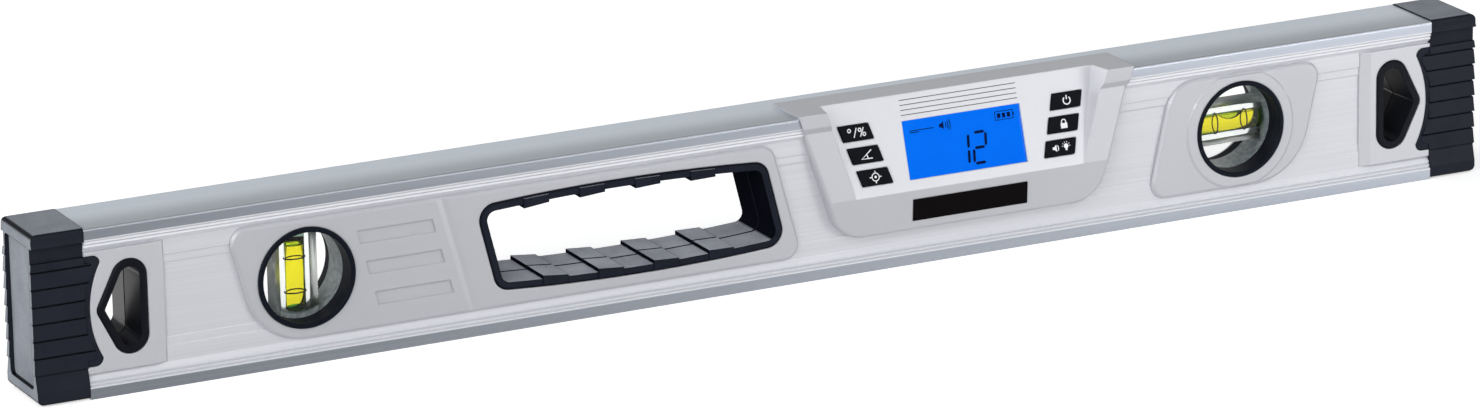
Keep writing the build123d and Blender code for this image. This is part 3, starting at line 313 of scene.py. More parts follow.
# %% Beam: gloss and relief
# The anodised skin scatters most of the light on the web; the milled rails are bare enough to mirror.
gloss = add(tree, "ShaderNodeMapRange", {
    "Value": lines.outputs[0], "From Min": 0.3, "From Max": 0.7, "To Min": 0.34, "To Max": 0.44,
})
metalness = add(tree, "ShaderNodeMapRange", {"Value": on_rail.outputs[0], "To Min": 0.2, "To Max": 1.0})
metalness = add(tree, "ShaderNodeMix", {"Factor": upward.outputs[0], "A": metalness.outputs[0], "B": 0.5})
edge = add(tree, "ShaderNodeBevel", {"Radius": 0.25 * MM}, samples=4)
relief = add(tree, "ShaderNodeBump", {
    "Strength": 0.06, "Distance": 0.05 * MM, "Height": lines.outputs[0], "Normal": edge.outputs[0],
})
metal = add(tree, "ShaderNodeBsdfPrincipled", {
    "Base Color": tone.outputs["Result"], "Metallic": metalness.outputs["Result"],
    "Roughness": gloss.outputs[0], "Normal": relief.outputs[0],
})
add(tree, "ShaderNodeOutputMaterial", {"Surface": metal.outputs[0]})
anodised_aluminium = material
print("finish:", material.name)

# %% [markdown]
# ## Silver lacquered ABS
# The covers, the end pads and the display housing are moulded in ABS and sprayed with a satin silver
# lacquer. Tiny flakes in the lacquer give it a soft sheen that is never as sharp as bare metal. Real
# flakes are near 0.05 mm; they are drawn at 0.35 mm so that a trace of them shows. The tilted panel faces
# the light from above and gets painted light, a paler tone, and the end pads look a little paler in the
# photograph, so two masks, by slope and by place, lift their tone.

# %% Covers and housing: tone of the lacquer
FLAKE = 0.35 * MM
CLOUD = 40 * MM
PANEL_TILT = radians(17.0)
PADS_BEYOND = 240 * MM
material, tree = new_material("abs_silver_lacquered")
where = add(tree, "ShaderNodeTexCoord")
flakes = add(tree, "ShaderNodeTexNoise", {
    "Vector": where.outputs["Object"], "Scale": 1 / FLAKE, "Detail": 2.0,
})
shade = add(tree, "ShaderNodeMapRange", {
    "Value": flakes.outputs[0], "From Min": 0.3, "From Max": 0.7, "To Min": 0.965, "To Max": 1.0,
})
around = add(tree, "ShaderNodeNewGeometry")
facing = add(tree, "ShaderNodeSeparateXYZ", {0: around.outputs["True Normal"]})
# Painted light: the panel face, tilted up towards the light, is painted paler.
panel_painted_light = add(tree, "ShaderNodeMath", {0: facing.outputs["Z"], 1: sin(PANEL_TILT), 2: 0.02},
                    operation="COMPARE")
place = add(tree, "ShaderNodeSeparateXYZ", {0: where.outputs["Object"]})
reach = add(tree, "ShaderNodeMath", {0: place.outputs["X"]}, operation="ABSOLUTE")
on_pad = add(tree, "ShaderNodeMath", {0: reach.outputs[0], 1: PADS_BEYOND}, operation="GREATER_THAN")
tone = drifting(tree, CLOUD, "#BDBEC3", "#C2C3C8")[1]
for mask, colour in ((panel_painted_light, "#D2D3D8"), (on_pad, "#C8C9CE")):
    tone = add(tree, "ShaderNodeMix", {"Factor": mask.outputs[0], "A": tone, "B": srgb(colour)},
               data_type="RGBA").outputs["Result"]
tone = add(tree, "ShaderNodeMix", {"Factor": 1.0, "A": tone, "B": shade.outputs[0]}, data_type="RGBA",
           blend_type="MULTIPLY")
print("lacquer: flakes drawn at", round(FLAKE / MM, 2), "mm")

# %% Covers and housing: satin sheen
# A share of metal stands for the flakes and gives a broad, soft highlight; edges are rounded by 0.7 mm.
edge = add(tree, "ShaderNodeBevel", {"Radius": 0.7 * MM}, samples=6)
relief = add(tree, "ShaderNodeBump", {
    "Strength": 0.05, "Distance": 0.03 * MM, "Height": flakes.outputs[0], "Normal": edge.outputs[0],
})
lacquer = add(tree, "ShaderNodeBsdfPrincipled", {
    "Base Color": tone.outputs["Result"], "Metallic": 0.3, "Roughness": 0.45, "IOR": 1.53,
    "Normal": relief.outputs[0],
})
add(tree, "ShaderNodeOutputMaterial", {"Surface": lacquer.outputs[0]})
silver_lacquer = material
print("finish:", material.name)

# %% [markdown]
# ## Moulded rubber and black plastics
# The caps, liners and grips are a blue-black thermoplastic rubber. On the top and the end face of a cap,
# and on the flats of a grip that the fingers rest on, the mould leaves a fine spark-eroded grain, and these
# faces are painted a pale grey as painted sheen, the light that they catch; the front faces stay nearly
# black, and the other walls are painted darker still as shade. The keys are a smoother silicone rubber and
# the window rings a satin ABS. Spark-eroded grain is about 0.1 mm; it is drawn at 0.45 mm.


# %% Caps and grips: thermoplastic rubber, moulded
GRAIN = 0.45 * MM
WIPE = 14 * MM
CAP_TOPS_ABOVE, CAP_ENDS_BEYOND = 61 * MM, 296 * MM
ANY_HEIGHT, PAST_THE_LEVEL = 0, 1    # a grip has grain on its level flats at any height and on no end face


def grain_and_sheen_faces(tree, where, facing, above, beyond):
    """A mask of the level faces above a height and the upright end faces beyond a distance."""
    place = add(tree, "ShaderNodeSeparateXYZ", {0: where.outputs["Object"]})
    masks = []
    for axis, limit in (("Z", above), ("X", beyond)):
        reach = add(tree, "ShaderNodeMath", {0: place.outputs[axis]}, operation="ABSOLUTE")
        inside = add(tree, "ShaderNodeMath", {0: reach.outputs[0], 1: limit}, operation="GREATER_THAN")
        turn = add(tree, "ShaderNodeMath", {0: facing.outputs[axis]}, operation="ABSOLUTE")
        square_on = add(tree, "ShaderNodeMapRange", {
            "Value": turn.outputs[0], "From Min": 0.85, "From Max": 0.985,
        })
        masks.append(add(tree, "ShaderNodeMath", {0: inside.outputs[0], 1: square_on.outputs[0]},
                         operation="MULTIPLY"))
    return add(tree, "ShaderNodeMath", {0: masks[0].outputs[0], 1: masks[1].outputs[0]}, operation="MAXIMUM")


def rubber_finish(name, grain_and_sheen_tones, shine, above, beyond):
    """Black rubber with painted shade on its side walls and a painted pale sheen over the grain of its level
    and end faces.
    """
    made, tree = new_material(name)
    where = add(tree, "ShaderNodeTexCoord")
    grain = add(tree, "ShaderNodeTexNoise", {
        "Vector": where.outputs["Object"], "Scale": 1 / GRAIN, "Detail": 3.0,
    })
    edge = add(tree, "ShaderNodeBevel", {"Radius": 0.5 * MM}, samples=6)
    facing = add(tree, "ShaderNodeSeparateXYZ", {0: edge.outputs[0]})
    mask = grain_and_sheen_faces(tree, where, facing, above, beyond)
    frontal = add(tree, "ShaderNodeMath", {0: facing.outputs["Y"]}, operation="ABSOLUTE")
    frontal = add(tree, "ShaderNodeMapRange", {
        "Value": frontal.outputs[0], "From Min": 0.5, "From Max": 0.95,
    })
    wipe, smooth = drifting(tree, WIPE, "#1B1E27", "#272A33")
    # Painted shade: faces that don't face the front or back, such as side walls and hole walls, are darkened
    # towards #0D0F16.
    smooth = add(tree, "ShaderNodeMix", {"Factor": frontal.outputs[0], "A": srgb("#0D0F16"), "B": smooth},
                 data_type="RGBA")
    speck = add(tree, "ShaderNodeMath", {0: grain.outputs[0], 1: wipe}, operation="ADD")
    speck = add(tree, "ShaderNodeMapRange", {"Value": speck.outputs[0], "From Min": 0.6, "From Max": 1.4})
    # Painted sheen: the grained faces take pale greys for the light they catch, flecked by the grain.
    painted_sheen_tone = add(tree, "ShaderNodeMix", {
        "Factor": speck.outputs[0], "A": srgb(grain_and_sheen_tones[0]), "B": srgb(grain_and_sheen_tones[1]),
    }, data_type="RGBA")
    tone = add(tree, "ShaderNodeMix", {
        "Factor": mask.outputs[0], "A": smooth.outputs["Result"], "B": painted_sheen_tone.outputs["Result"],
    }, data_type="RGBA")
    gloss = add(tree, "ShaderNodeMapRange", {"Value": mask.outputs[0], "To Min": 0.42, "To Max": 0.7})
    relief = add(tree, "ShaderNodeBump", {
        "Strength": 0.12, "Distance": 0.06 * MM, "Height": grain.outputs[0], "Normal": edge.outputs[0],
    })
    rubber = add(tree, "ShaderNodeBsdfPrincipled", {
        "Base Color": tone.outputs["Result"], "Roughness": gloss.outputs[0], "IOR": 1.4,
        "Specular IOR Level": shine, "Normal": relief.outputs[0],
    })
    add(tree, "ShaderNodeOutputMaterial", {"Surface": rubber.outputs[0]})
    return made


# The pale greys are painted sheen over the grain.
cap_rubber = rubber_finish("rubber_grain_and_painted_sheen", ("#767A82", "#979CA3"), 0.08, CAP_TOPS_ABOVE,
                           CAP_ENDS_BEYOND)
grip_rubber = rubber_finish("rubber_satin_and_painted_sheen", ("#8D9099", "#BBBEC6"), 0.0, ANY_HEIGHT,
                            PAST_THE_LEVEL)
print("finishes:", cap_rubber.name, grip_rubber.name)

# %% Finger liners: thermoplastic rubber, moulded and polished on the flat side
# The flat side of the mould is polished, so that wall gives a grey image of the floor; the rest is satin.
material, tree = new_material("rubber_moulded_smooth")
tone = drifting(tree, 6 * MM, "#0E1017", "#14161E")[1]
edge = add(tree, "ShaderNodeBevel", {"Radius": 0.5 * MM}, samples=6)
facing = add(tree, "ShaderNodeSeparateXYZ", {0: edge.outputs[0]})
sideways = add(tree, "ShaderNodeMath", {0: facing.outputs["X"]}, operation="ABSOLUTE")
polish = add(tree, "ShaderNodeMapRange", {"Value": sideways.outputs[0], "From Min": 0.9, "From Max": 0.99})
gloss = add(tree, "ShaderNodeMapRange", {"Value": polish.outputs[0], "To Min": 0.45, "To Max": 0.22})
shine = add(tree, "ShaderNodeMapRange", {"Value": polish.outputs[0], "To Min": 0.1, "To Max": 0.9})
liner = add(tree, "ShaderNodeBsdfPrincipled", {
    "Base Color": tone, "Roughness": gloss.outputs[0], "IOR": 1.5, "Specular IOR Level": shine.outputs[0],
    "Normal": edge.outputs[0],
})
add(tree, "ShaderNodeOutputMaterial", {"Surface": liner.outputs[0]})
liner_rubber = material
print("finish:", material.name)

# %% Keys: silicone rubber, moulded
# Its dry skin mirrors next to nothing, so a key stays black and only its rounded edge catches light.
silicone_rubber, tree = new_material("silicone_rubber_moulded")
tone = drifting(tree, 3 * MM, "#0C0D12", "#121319")[1]
edge = add(tree, "ShaderNodeBevel", {"Radius": 0.35 * MM}, samples=6)
silicone = add(tree, "ShaderNodeBsdfPrincipled", {
    "Base Color": tone, "Roughness": 0.5, "IOR": 1.43, "Specular IOR Level": 0.06,
    "Normal": edge.outputs[0],
})
add(tree, "ShaderNodeOutputMaterial", {"Surface": silicone.outputs[0]})
print("finish:", silicone_rubber.name)

# %% Window rings: black ABS, satin
# A satin mould leaves a faint grain in a deep blue-black, and a soft line of light along the lip.
black_abs, tree = new_material("abs_black_satin")
tone = drifting(tree, GRAIN, "#0E121B", "#151923")[1]
edge = add(tree, "ShaderNodeBevel", {"Radius": 0.3 * MM}, samples=4)
satin = add(tree, "ShaderNodeBsdfPrincipled", {
    "Base Color": tone, "Roughness": 0.45, "IOR": 1.53, "Specular IOR Level": 0.06,
    "Normal": edge.outputs[0],
})
add(tree, "ShaderNodeOutputMaterial", {"Surface": satin.outputs[0]})
print("finish:", black_abs.name)

# %% Chin plate: black polycarbonate, glossy
# A polished mould gives the deepest black on the level, with a gloss that a slight haze varies.
black_gloss, tree = new_material("polycarbonate_black_gloss")
haze, tone = drifting(tree, 6 * MM, "#0A0809", "#0E0B0C")
gloss = add(tree, "ShaderNodeMapRange", {"Value": haze, "To Min": 0.2, "To Max": 0.3})
chin = add(tree, "ShaderNodeBsdfPrincipled", {
    "Base Color": tone, "Roughness": gloss.outputs[0], "IOR": 1.58, "Specular IOR Level": 0.03,
})
add(tree, "ShaderNodeOutputMaterial", {"Surface": chin.outputs[0]})
print("finish:", black_gloss.name)

# %% [markdown]
# ## Small inner materials
# Behind the panel and the battery cover are a green board, dark chips, nickel-plated contacts and two
# cells in a printed jacket. They only show when the cover is off, so each gets its colour and one plain
# pattern.


# %% Board, chips, plated steel, cells
def inner_material(name, dark, pale, spot, metallic, roughness, shine=0.5):
    """A finish whose tone drifts between two colours in spots of a given size."""
    made, tree = new_material(name)
    tone = drifting(tree, spot, dark, pale)[1]
    shader = add(tree, "ShaderNodeBsdfPrincipled", {
        "Base Color": tone, "Metallic": metallic, "Roughness": roughness, "Specular IOR Level": shine,
    })
    add(tree, "ShaderNodeOutputMaterial", {"Surface": shader.outputs[0]})
    return made


# Solder resist is a clear green film over copper, chips are a matt moulded epoxy, nickel is a warm bright
# metal, a cell's jacket is a shiny shrunk film, and the mats are a plain grey silicone.
solder_resist = inner_material("fr4_solder_resist_green", "#0D4A28", "#12602F", 4 * MM, 0, 0.35)
chip_epoxy = inner_material("epoxy_moulded_black", "#141416", "#1E1E20", 1 * MM, 0, 0.5)
nickel_steel = inner_material("steel_nickel_plated", "#B4B2AC", "#C8C6C0", 2 * MM, 1, 0.28)
cell_jacket = inner_material("pvc_jacket_printed", "#20242C", "#2C323C", 12 * MM, 0, 0.3)
mat_silicone = inner_material("silicone_rubber_grey", "#8A8B8D", "#98999B", 3 * MM, 0, 0.55)
inner = (solder_resist, chip_epoxy, nickel_steel, cell_jacket, mat_silicone)
print("inner finishes:", [made.name for made in inner])

# %% Give each CAD node its finish
FINISHES = {
    "beam_aluminium": anodised_aluminium, "black_rubber": grip_rubber, "silver_plastic": silver_lacquer,
    "black_plastic": black_abs, "black_gloss": black_gloss, "key_rubber": silicone_rubber,
    "mat_rubber": mat_silicone, "board_laminate": solder_resist, "chip_plastic": chip_epoxy,
    "spring_steel": nickel_steel, "cell_jacket": cell_jacket,
}
SLOT_OF = {part["node"]: part["material_slot"] for part in frame["record"]["subparts"]}


def dress(node, finish):
    piece = frame["nodes"][node]
    piece.data.materials.clear()
    piece.data.materials.append(finish)


for node, slot in SLOT_OF.items():
    if slot in FINISHES:
        dress(node, FINISHES[slot])
for side in ("left", "right"):
    dress("end_cap_" + side, cap_rubber)
    for face in ("front", "back"):
        dress("finger_liner_%s_%s" % (side, face), liner_rubber)
print("dressed:", sum(slot in FINISHES for slot in SLOT_OF.values()), "CAD nodes")

# %% [markdown]
# ## Clear vials
# Each window holds a clear acrylic moulding: a ring with a bar across it, and in the bar a tube of
# yellow-green spirit with a bubble. Light bends at each wall, so the walls are nested: the moulding is
# one closed solid, the spirit is a closed rod inside it, and the bubble is a closed drop inside that.
# A wall that faces inwards is the wall of what is around it, so spirit and bubble have their faces
# turned inside out, and their index is the ratio of the two media. That keeps every index above 1.

# %% Vial places, as in the CAD
RING_OUTER, RING_INNER = 18.9 * MM, 17.2 * MM
BAR_HALF, BLOCK_HALF = 7.4 * MM, 6.3 * MM
TUBE_LOW, TUBE_HIGH = -15.2 * MM, 11.8 * MM


def window_middle(node):
    low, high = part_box(node)
    return Matrix.Translation(((low.x + high.x) / 2, 0, (low.z + high.z) / 2))


PLUMB = window_middle("plumb_bezel")
LYING = window_middle("level_bezel") @ Matrix.Rotation(-pi / 2, 4, "Y")
print("windows at x = %.1f and %.1f mm" % (PLUMB.translation.x / MM, LYING.translation.x / MM))

# %% Acrylic, spirit, air and prints of the vials
ACRYLIC_INDEX = 1.49
SPIRIT_INDEX = 1.36
BUBBLE_INDEX = 1.16    # air in spirit is 1.36, which turns so small a bubble black; this keeps its green
PLUG_INDEX = 1.1       # lower than acrylic's, so that little light bends where the plug starts
LENS_INDEX = 1.15      # an anti-glare coat leaves the lens about half a percent of mirror image
PAINTED_GLINT = 2.0 * MM


def frosted(tree, clear, index, wall_tone, ring_tone, middle):
    """Moulded haze on the walls that don't face the front or back, and painted glint spots on the ring."""
    where = add(tree, "ShaderNodeTexCoord")
    around = add(tree, "ShaderNodeNewGeometry")
    facing = add(tree, "ShaderNodeSeparateXYZ", {0: around.outputs["Normal"]})
    front = add(tree, "ShaderNodeMath", {0: facing.outputs["Y"]}, operation="ABSOLUTE")
    side = add(tree, "ShaderNodeMapRange", {
        "Value": front.outputs[0], "From Min": 0.3, "From Max": 0.8, "To Min": 1.0, "To Max": 0.0,
    })
    flat = add(tree, "ShaderNodeMapping", {
        "Vector": where.outputs["Object"], "Scale": (1, 0, 1), "Location": (-middle.x, 0, -middle.z),
    })
    reach = add(tree, "ShaderNodeVectorMath", {0: flat.outputs[0]}, operation="LENGTH")
    on_ring = add(tree, "ShaderNodeMapRange", {
        "Value": reach.outputs["Value"], "From Min": RING_INNER - 2.6 * MM,
        "From Max": RING_INNER - 1.4 * MM,
    })
    side = add(tree, "ShaderNodeMath", {0: side.outputs[0], 1: on_ring.outputs[0]}, operation="MAXIMUM")
    painted_glint_spots = add(tree, "ShaderNodeTexNoise", {"Vector": where.outputs["Object"], "Scale": 1 / PAINTED_GLINT})
    painted_glint_spots = add(tree, "ShaderNodeMapRange", {"Value": painted_glint_spots.outputs[0], "From Min": 0.35, "From Max": 0.65})
    painted_glint_tone = add(tree, "ShaderNodeMix", {
        "Factor": painted_glint_spots.outputs[0], "A": srgb(ring_tone), "B": srgb(wall_tone),
    }, data_type="RGBA")
    haze = add(tree, "ShaderNodeMix", {
        "Factor": on_ring.outputs[0], "A": srgb(wall_tone), "B": painted_glint_tone.outputs["Result"],
    }, data_type="RGBA")
    passing = add(tree, "ShaderNodeMapRange", {"Value": on_ring.outputs[0], "To Min": 0.6, "To Max": 0.3})
    matt = add(tree, "ShaderNodeBsdfPrincipled", {
        "Base Color": haze.outputs["Result"], "IOR": index, "Roughness": 0.35,
        "Transmission Weight": passing.outputs[0],
    })
    return add(tree, "ShaderNodeMixShader", {0: side.outputs[0], 1: clear.outputs[0], 2: matt.outputs[0]})


def clear_material(name, colour, index, roughness=0.0, rim=None, frost=None):
    """A clear body: light passes, bends by `index` and takes a little of the colour.

    A `rim` colour deepens it where the wall turns away from the eye, and `frost`, the tone of the
    walls, the tone of the ring and the window's middle, hazes what the mould leaves unpolished.
    """
    made, tree = new_material(name)
    tone = drifting(tree, 5 * MM, *colour)[1]
    if rim:
        away = add(tree, "ShaderNodeLayerWeight", {"Blend": 0.5})
        away = add(tree, "ShaderNodeMapRange", {
            "Value": away.outputs["Facing"], "From Min": 0.5, "From Max": 0.85,
        }, interpolation_type="SMOOTHSTEP")
        tone = add(tree, "ShaderNodeMix", {"Factor": away.outputs[0], "A": tone, "B": srgb(rim)},
                   data_type="RGBA").outputs["Result"]
    shader = add(tree, "ShaderNodeBsdfPrincipled", {
        "Base Color": tone, "IOR": index, "Roughness": roughness, "Transmission Weight": 1.0,
    })
    if frost:
        shader = frosted(tree, shader, index, *frost)
    add(tree, "ShaderNodeOutputMaterial", {"Surface": shader.outputs[0]})
    return made


# Dyed spirit glows yellow with a green rim, its closed end is painted green for the light seen through its
# curved end wall, and a bubble is a pale green lens.
# The plug is a dull green, the display's lens is all but unseen, and the marks are a flat black print.
spirit = clear_material("spirit_dyed_yellow", ("#EADC2C", "#F0E21C"), ACRYLIC_INDEX / SPIRIT_INDEX,
                        rim="#2E6E22")
spirit_end_painted_green = clear_material("spirit_painted_green_end", ("#1C6A2C", "#287A34"), ACRYLIC_INDEX / SPIRIT_INDEX)
bubble_air = clear_material("air_bubble", ("#C8EAB8", "#D4F2C6"), BUBBLE_INDEX, rim="#1E7A3A")
plug_acrylic = clear_material("acrylic_plug_green", ("#6F8577", "#7D9284"), PLUG_INDEX, 0.15)
lens_acrylic = clear_material("acrylic_lens_coated", ("#F6F9FC", "#FCFDFF"), LENS_INDEX)
mark_print = inner_material("enamel_print_black", "#10140F", "#181C14", 1 * MM, 0, 0.5)
clear = (spirit, spirit_end_painted_green, bubble_air, plug_acrylic, lens_acrylic)
print("clear finishes:", [made.name for made in clear])


# %% Curves that become meshes
def add_line(curve, points, closed, unit=1.0):
    spline = curve.splines.new("POLY")
    spline.points.add(len(points) - 1)
    for point, (x, y) in zip(spline.points, points):
        point.co = (x * unit, y * unit, 0, 1)
    spline.use_cyclic_u = closed


def curve_mesh(curve):
    maker = bpy.data.objects.new("maker", curve)
    scene.collection.objects.link(maker)
    bpy.context.view_layer.update()
    mesh = bpy.data.meshes.new_from_object(maker.evaluated_get(bpy.context.evaluated_depsgraph_get()))
    bpy.data.objects.remove(maker)
    return mesh


def plate(outlines, half_depth, edge):
    """A flat outline with holes, as a thick plate with rounded edges, standing in the XZ plane."""
    curve = bpy.data.curves.new("plate", "CURVE")
    curve.dimensions = "2D"
    curve.fill_mode = "BOTH"
    curve.extrude = half_depth - edge
    curve.bevel_depth = edge
    curve.bevel_resolution = 3
    curve.offset = -edge
    for points in outlines:
        add_line(curve, points, True)
    mesh = curve_mesh(curve)
    mesh.transform(Matrix.Rotation(pi / 2, 4, "X"))
    return mesh


def circle(radius, start, end, steps):
    turns = [start + (end - start) * i / steps for i in range(steps + 1)]
    return [(radius * cos(t), radius * sin(t)) for t in turns]


print("a half circle in 48 steps has", len(circle(1, 0, pi, 48)), "points")


# %% Put a finished mesh on its body
def place_piece(name, mesh, place, finish, body, slot, *stands_for):
    """Put a finished mesh into the scene on its body, smooth shaded."""
    mesh.transform(place)
    mesh.materials.append(finish)
    mesh.shade_smooth()
    piece = bpy.data.objects.new(name, mesh)
    scene.collection.objects.link(piece)
    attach(piece, body)
    if stands_for:
        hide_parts(*stands_for)
    print("piece:", name, "with", len(mesh.polygons), "faces on", body)
    return piece


# %% Acrylic mouldings
# Moulded acrylic is water-clear through its polished faces; its edges are grey, and the ring has small bright
# glint spots painted into its grey.
MOULD_EDGE = 0.35 * MM
ring = circle(RING_OUTER, 0, 2 * pi, 128)[:-1]


def side_hole(side):
    """The open half-moon between the ring and the bar, on one side."""
    reach = acos(BAR_HALF / RING_INNER)
    return [(side * x, z) for x, z in circle(RING_INNER, -reach, reach, 48)]


for window, place in (("plumb", PLUMB), ("level", LYING)):
    acrylic = clear_material("acrylic_moulded_clear_" + window, ("#F4F8F6", "#FAFDFB"), ACRYLIC_INDEX,
                             frost=("#A9B3B4", "#7C8689", place.translation))
    mesh = plate([ring, side_hole(1), side_hole(-1)], BLOCK_HALF, MOULD_EDGE)
    place_piece(window + "_moulding", mesh, place, acrylic, "level", "clear_acrylic", window + "_vial_block")


# %% Solids that are turned or cut
ON_AXIS = 0.0001 * MM    # a smaller radius is one point on the axis


def turned(profile, steps=64):
    """A closed solid turned about Z from (radius, height) points that start and end on the axis.

    Rings and faces are made one by one, so that they come in the same order in each run.
    """
    made = bmesh.new()
    rings = []
    for r, z in profile:
        turns = circle(r, 0, 2 * pi, steps)[:-1] if r > ON_AXIS else [(0, 0)]
        rings.append([made.verts.new((x, y, z)) for x, y in turns])
    for first, second in zip(rings, rings[1:]):
        for i in range(steps):
            places = ((first, i), (first, i + 1), (second, i + 1), (second, i))
            corners = [ring[j % len(ring)] for ring, j in places]
            made.faces.new(list(dict.fromkeys(corners)))
    bmesh.ops.recalc_face_normals(made, faces=made.faces)
    return made


def to_mesh(made):
    mesh = bpy.data.meshes.new("made")
    made.to_mesh(mesh)
    made.free()
    return mesh


def combined(first, second, operation):
    """Two closed solids cut by each other with a Boolean modifier, handed over as one."""
    makers = [bpy.data.objects.new("maker", to_mesh(made)) for made in (first, second)]
    for maker in makers:
        scene.collection.objects.link(maker)
    cut = makers[0].modifiers.new("cut", "BOOLEAN")
    cut.operation = operation
    cut.object = makers[1]
    bpy.context.view_layer.update()
    whole = bmesh.new()
    whole.from_object(makers[0], bpy.context.evaluated_depsgraph_get())
    for maker in makers:
        bpy.data.objects.remove(maker)
    return whole


print("solids: turned about an axis or cut by each other")

# %% Shapes of the spirit and the bubbles
SPIRIT = 3.97 * MM
END_ROUND = 1.3 * MM
BUBBLE_WALL = 3.8 * MM


def spirit_rod():
    """The rod of spirit, rounded at its closed end, whose faces take the second finish."""
    corner = circle(END_ROUND, -pi / 2, 0, 8)
    foot = [(SPIRIT - END_ROUND + x, TUBE_LOW + END_ROUND + z) for x, z in corner]
    rod = turned([(0, TUBE_LOW), *foot, (SPIRIT, TUBE_HIGH), (0, TUBE_HIGH)])
    # The faces at the closed end take the painted green.
    for face in rod.faces:
        face.material_index = int(face.calc_center_median().z < TUBE_LOW + END_ROUND)
    return rod


def standing_bubble():
    """Air at the head of the upright tube: flat on top, with a rim that curls down to the wall."""
    top, depth, rim = TUBE_HIGH - 0.3 * MM, 2.1 * MM, 0.7 * MM
    out = BUBBLE_WALL - rim
    upper = [(out + x, top - rim + z) for x, z in reversed(circle(rim, 0, pi / 2, 6))]
    lower = [(out + x, top - depth + rim + z) for x, z in reversed(circle(rim, -pi / 2, 0, 6))]
    return turned([(0, top), *upper, *lower, (0, top - depth)])


def lying_bubble():
    """Air along the top of the lying tube: the tube's own roof, over a floor like a boat's."""
    length, depth = 11.2 * MM, 2.9 * MM
    curve = (length**2 / 4 + depth**2) / (2 * depth)
    roof = turned([(0, -length), (BUBBLE_WALL, -length), (BUBBLE_WALL, length), (0, length)], 96)
    boat = turned(circle(curve, -pi / 2, pi / 2, 64), 96)
    bmesh.ops.translate(boat, verts=boat.verts, vec=(BUBBLE_WALL - depth + curve, 0, 0))
    drop = combined(roof, boat, "INTERSECT")
    bmesh.ops.translate(drop, verts=drop.verts, vec=(0, 0, (TUBE_LOW + TUBE_HIGH) / 2))
    return drop


print("spirit rod:", round((TUBE_HIGH - TUBE_LOW) / MM, 1), "mm long")


# %% Fill the vials
def inside_out(made):
    bmesh.ops.reverse_faces(made, faces=made.faces)
    return to_mesh(made)


for window, place, bubble in (("plumb", PLUMB, standing_bubble()), ("level", LYING, lying_bubble())):
    rod = place_piece(window + "_spirit", inside_out(spirit_rod()), place, spirit, "level", "vial_liquid",
                      window + "_vial_liquid")
    rod.data.materials.append(spirit_end_painted_green)
    place_piece(window + "_bubble", inside_out(bubble), place, bubble_air, window + "_vial_bubble",
                "vial_air", window + "_vial_bubble")
    dress(window + "_vial_plug", plug_acrylic)
    dress(window + "_vial_marks", mark_print)

# %% [markdown]
# ## Housing screws
# Four zinc-plated screws hold the display housing from the back. Their heads are shallow domes with a
# cross recess for the driver. A turned profile gives the screw and a Boolean cut gives the recess, which
# catches the light as a real one does and stays a shape in the mesh.

# %% A pan-head screw with a cross recess
HEAD, HEAD_HEIGHT, SHANK = 2.6 * MM, 1.5 * MM, 1.4 * MM
DOME_SHARE, TIP_SHARE = 0.55, 0.4
CROSS_LONG, CROSS_WIDE, CROSS_DEEP, CROSS_TAPER = 1.5 * MM, 0.42 * MM, 0.9 * MM, 0.6
low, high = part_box("housing_screws")


def screw():
    """A screw along Z with its head's crown at the origin."""
    length = high.y - low.y
    turns = [radians(a) for a in range(0, 91, 10)]
    dome = [(HEAD * sin(t), -DOME_SHARE * HEAD_HEIGHT * (1 - cos(t))) for t in turns]
    tip = [(SHANK, -HEAD_HEIGHT), (SHANK, -length + SHANK), (TIP_SHARE * SHANK, -length), (0, -length)]
    blank = turned(dome + [(HEAD, -HEAD_HEIGHT)] + tip, 48)
    for x, y in ((CROSS_LONG, CROSS_WIDE), (CROSS_WIDE, CROSS_LONG)):
        arm = bmesh.new()
        bmesh.ops.create_cube(arm, size=1, matrix=Matrix.Diagonal((2 * x, 2 * y, 2 * CROSS_DEEP, 1)))
        deep = [v for v in arm.verts if v.co.z < 0]
        bmesh.ops.scale(arm, verts=deep, vec=(CROSS_TAPER, CROSS_TAPER, 1))
        blank = combined(blank, arm, "DIFFERENCE")
    return blank


print("screw:", round((high.y - low.y) / MM, 1), "mm long")

# %% Screws in their places
# Zinc plating gives the eye a soft grey metal with a broad highlight on the dome.
LOW_ROW_OUT = 49.5 * MM
zinc_steel = inner_material("steel_zinc_plated", "#A2A3A6", "#B4B5B8", 2 * MM, 1, 0.42)


def join(*meshes):
    """Several meshes as one."""
    made = bmesh.new()
    for mesh in meshes:
        made.from_mesh(mesh)
        bpy.data.meshes.remove(mesh)
    return to_mesh(made)


middle = (low.x + high.x) / 2
high_row_out = (high.x - low.x) / 2 - HEAD
screws = []
for side in (-1, 1):
    for out_by, z in ((high_row_out, high.z - HEAD), (LOW_ROW_OUT, low.z + HEAD)):
        seat = Matrix.Translation((middle + side * out_by, high.y, z))
        screws.append(to_mesh(screw()))
        screws[-1].transform(seat @ Matrix.Rotation(-pi / 2, 4, "X"))
place_piece("screws", join(*screws), Matrix.Identity(4), zinc_steel, "level", "spring_steel",
            "housing_screws")

# %% [markdown]
# ## Signs and lines
# Printed signs are flat strokes of ink. A stroke is drawn as a curve with a round section along its line
# and then pressed flat, which gives clean joints and round ends with no work on corners. A filled sign
# is a flat outline given a little thickness. Both are drawn in the plane of what carries them: x along
# the level, y up the slope of the panel.

# %% Panel plane
PANEL_FOOT = Vector((76.0, -16.9, 29.5)) * MM
panel_up = Vector((0, sin(PANEL_TILT), cos(PANEL_TILT)))
panel_out = Vector((0, -cos(PANEL_TILT), sin(PANEL_TILT)))


def on_panel(out):
    """The frame of a plane parallel to the panel, `out` in front of it."""
    turn = Matrix((Vector((1, 0, 0)), panel_up, panel_out)).transposed().to_4x4()
    return Matrix.Translation(PANEL_FOOT + out * panel_out) @ turn


print("panel foot at", [round(v / MM, 1) for v in PANEL_FOOT])

# %% Strokes and filled shapes
INK = 0.03 * MM


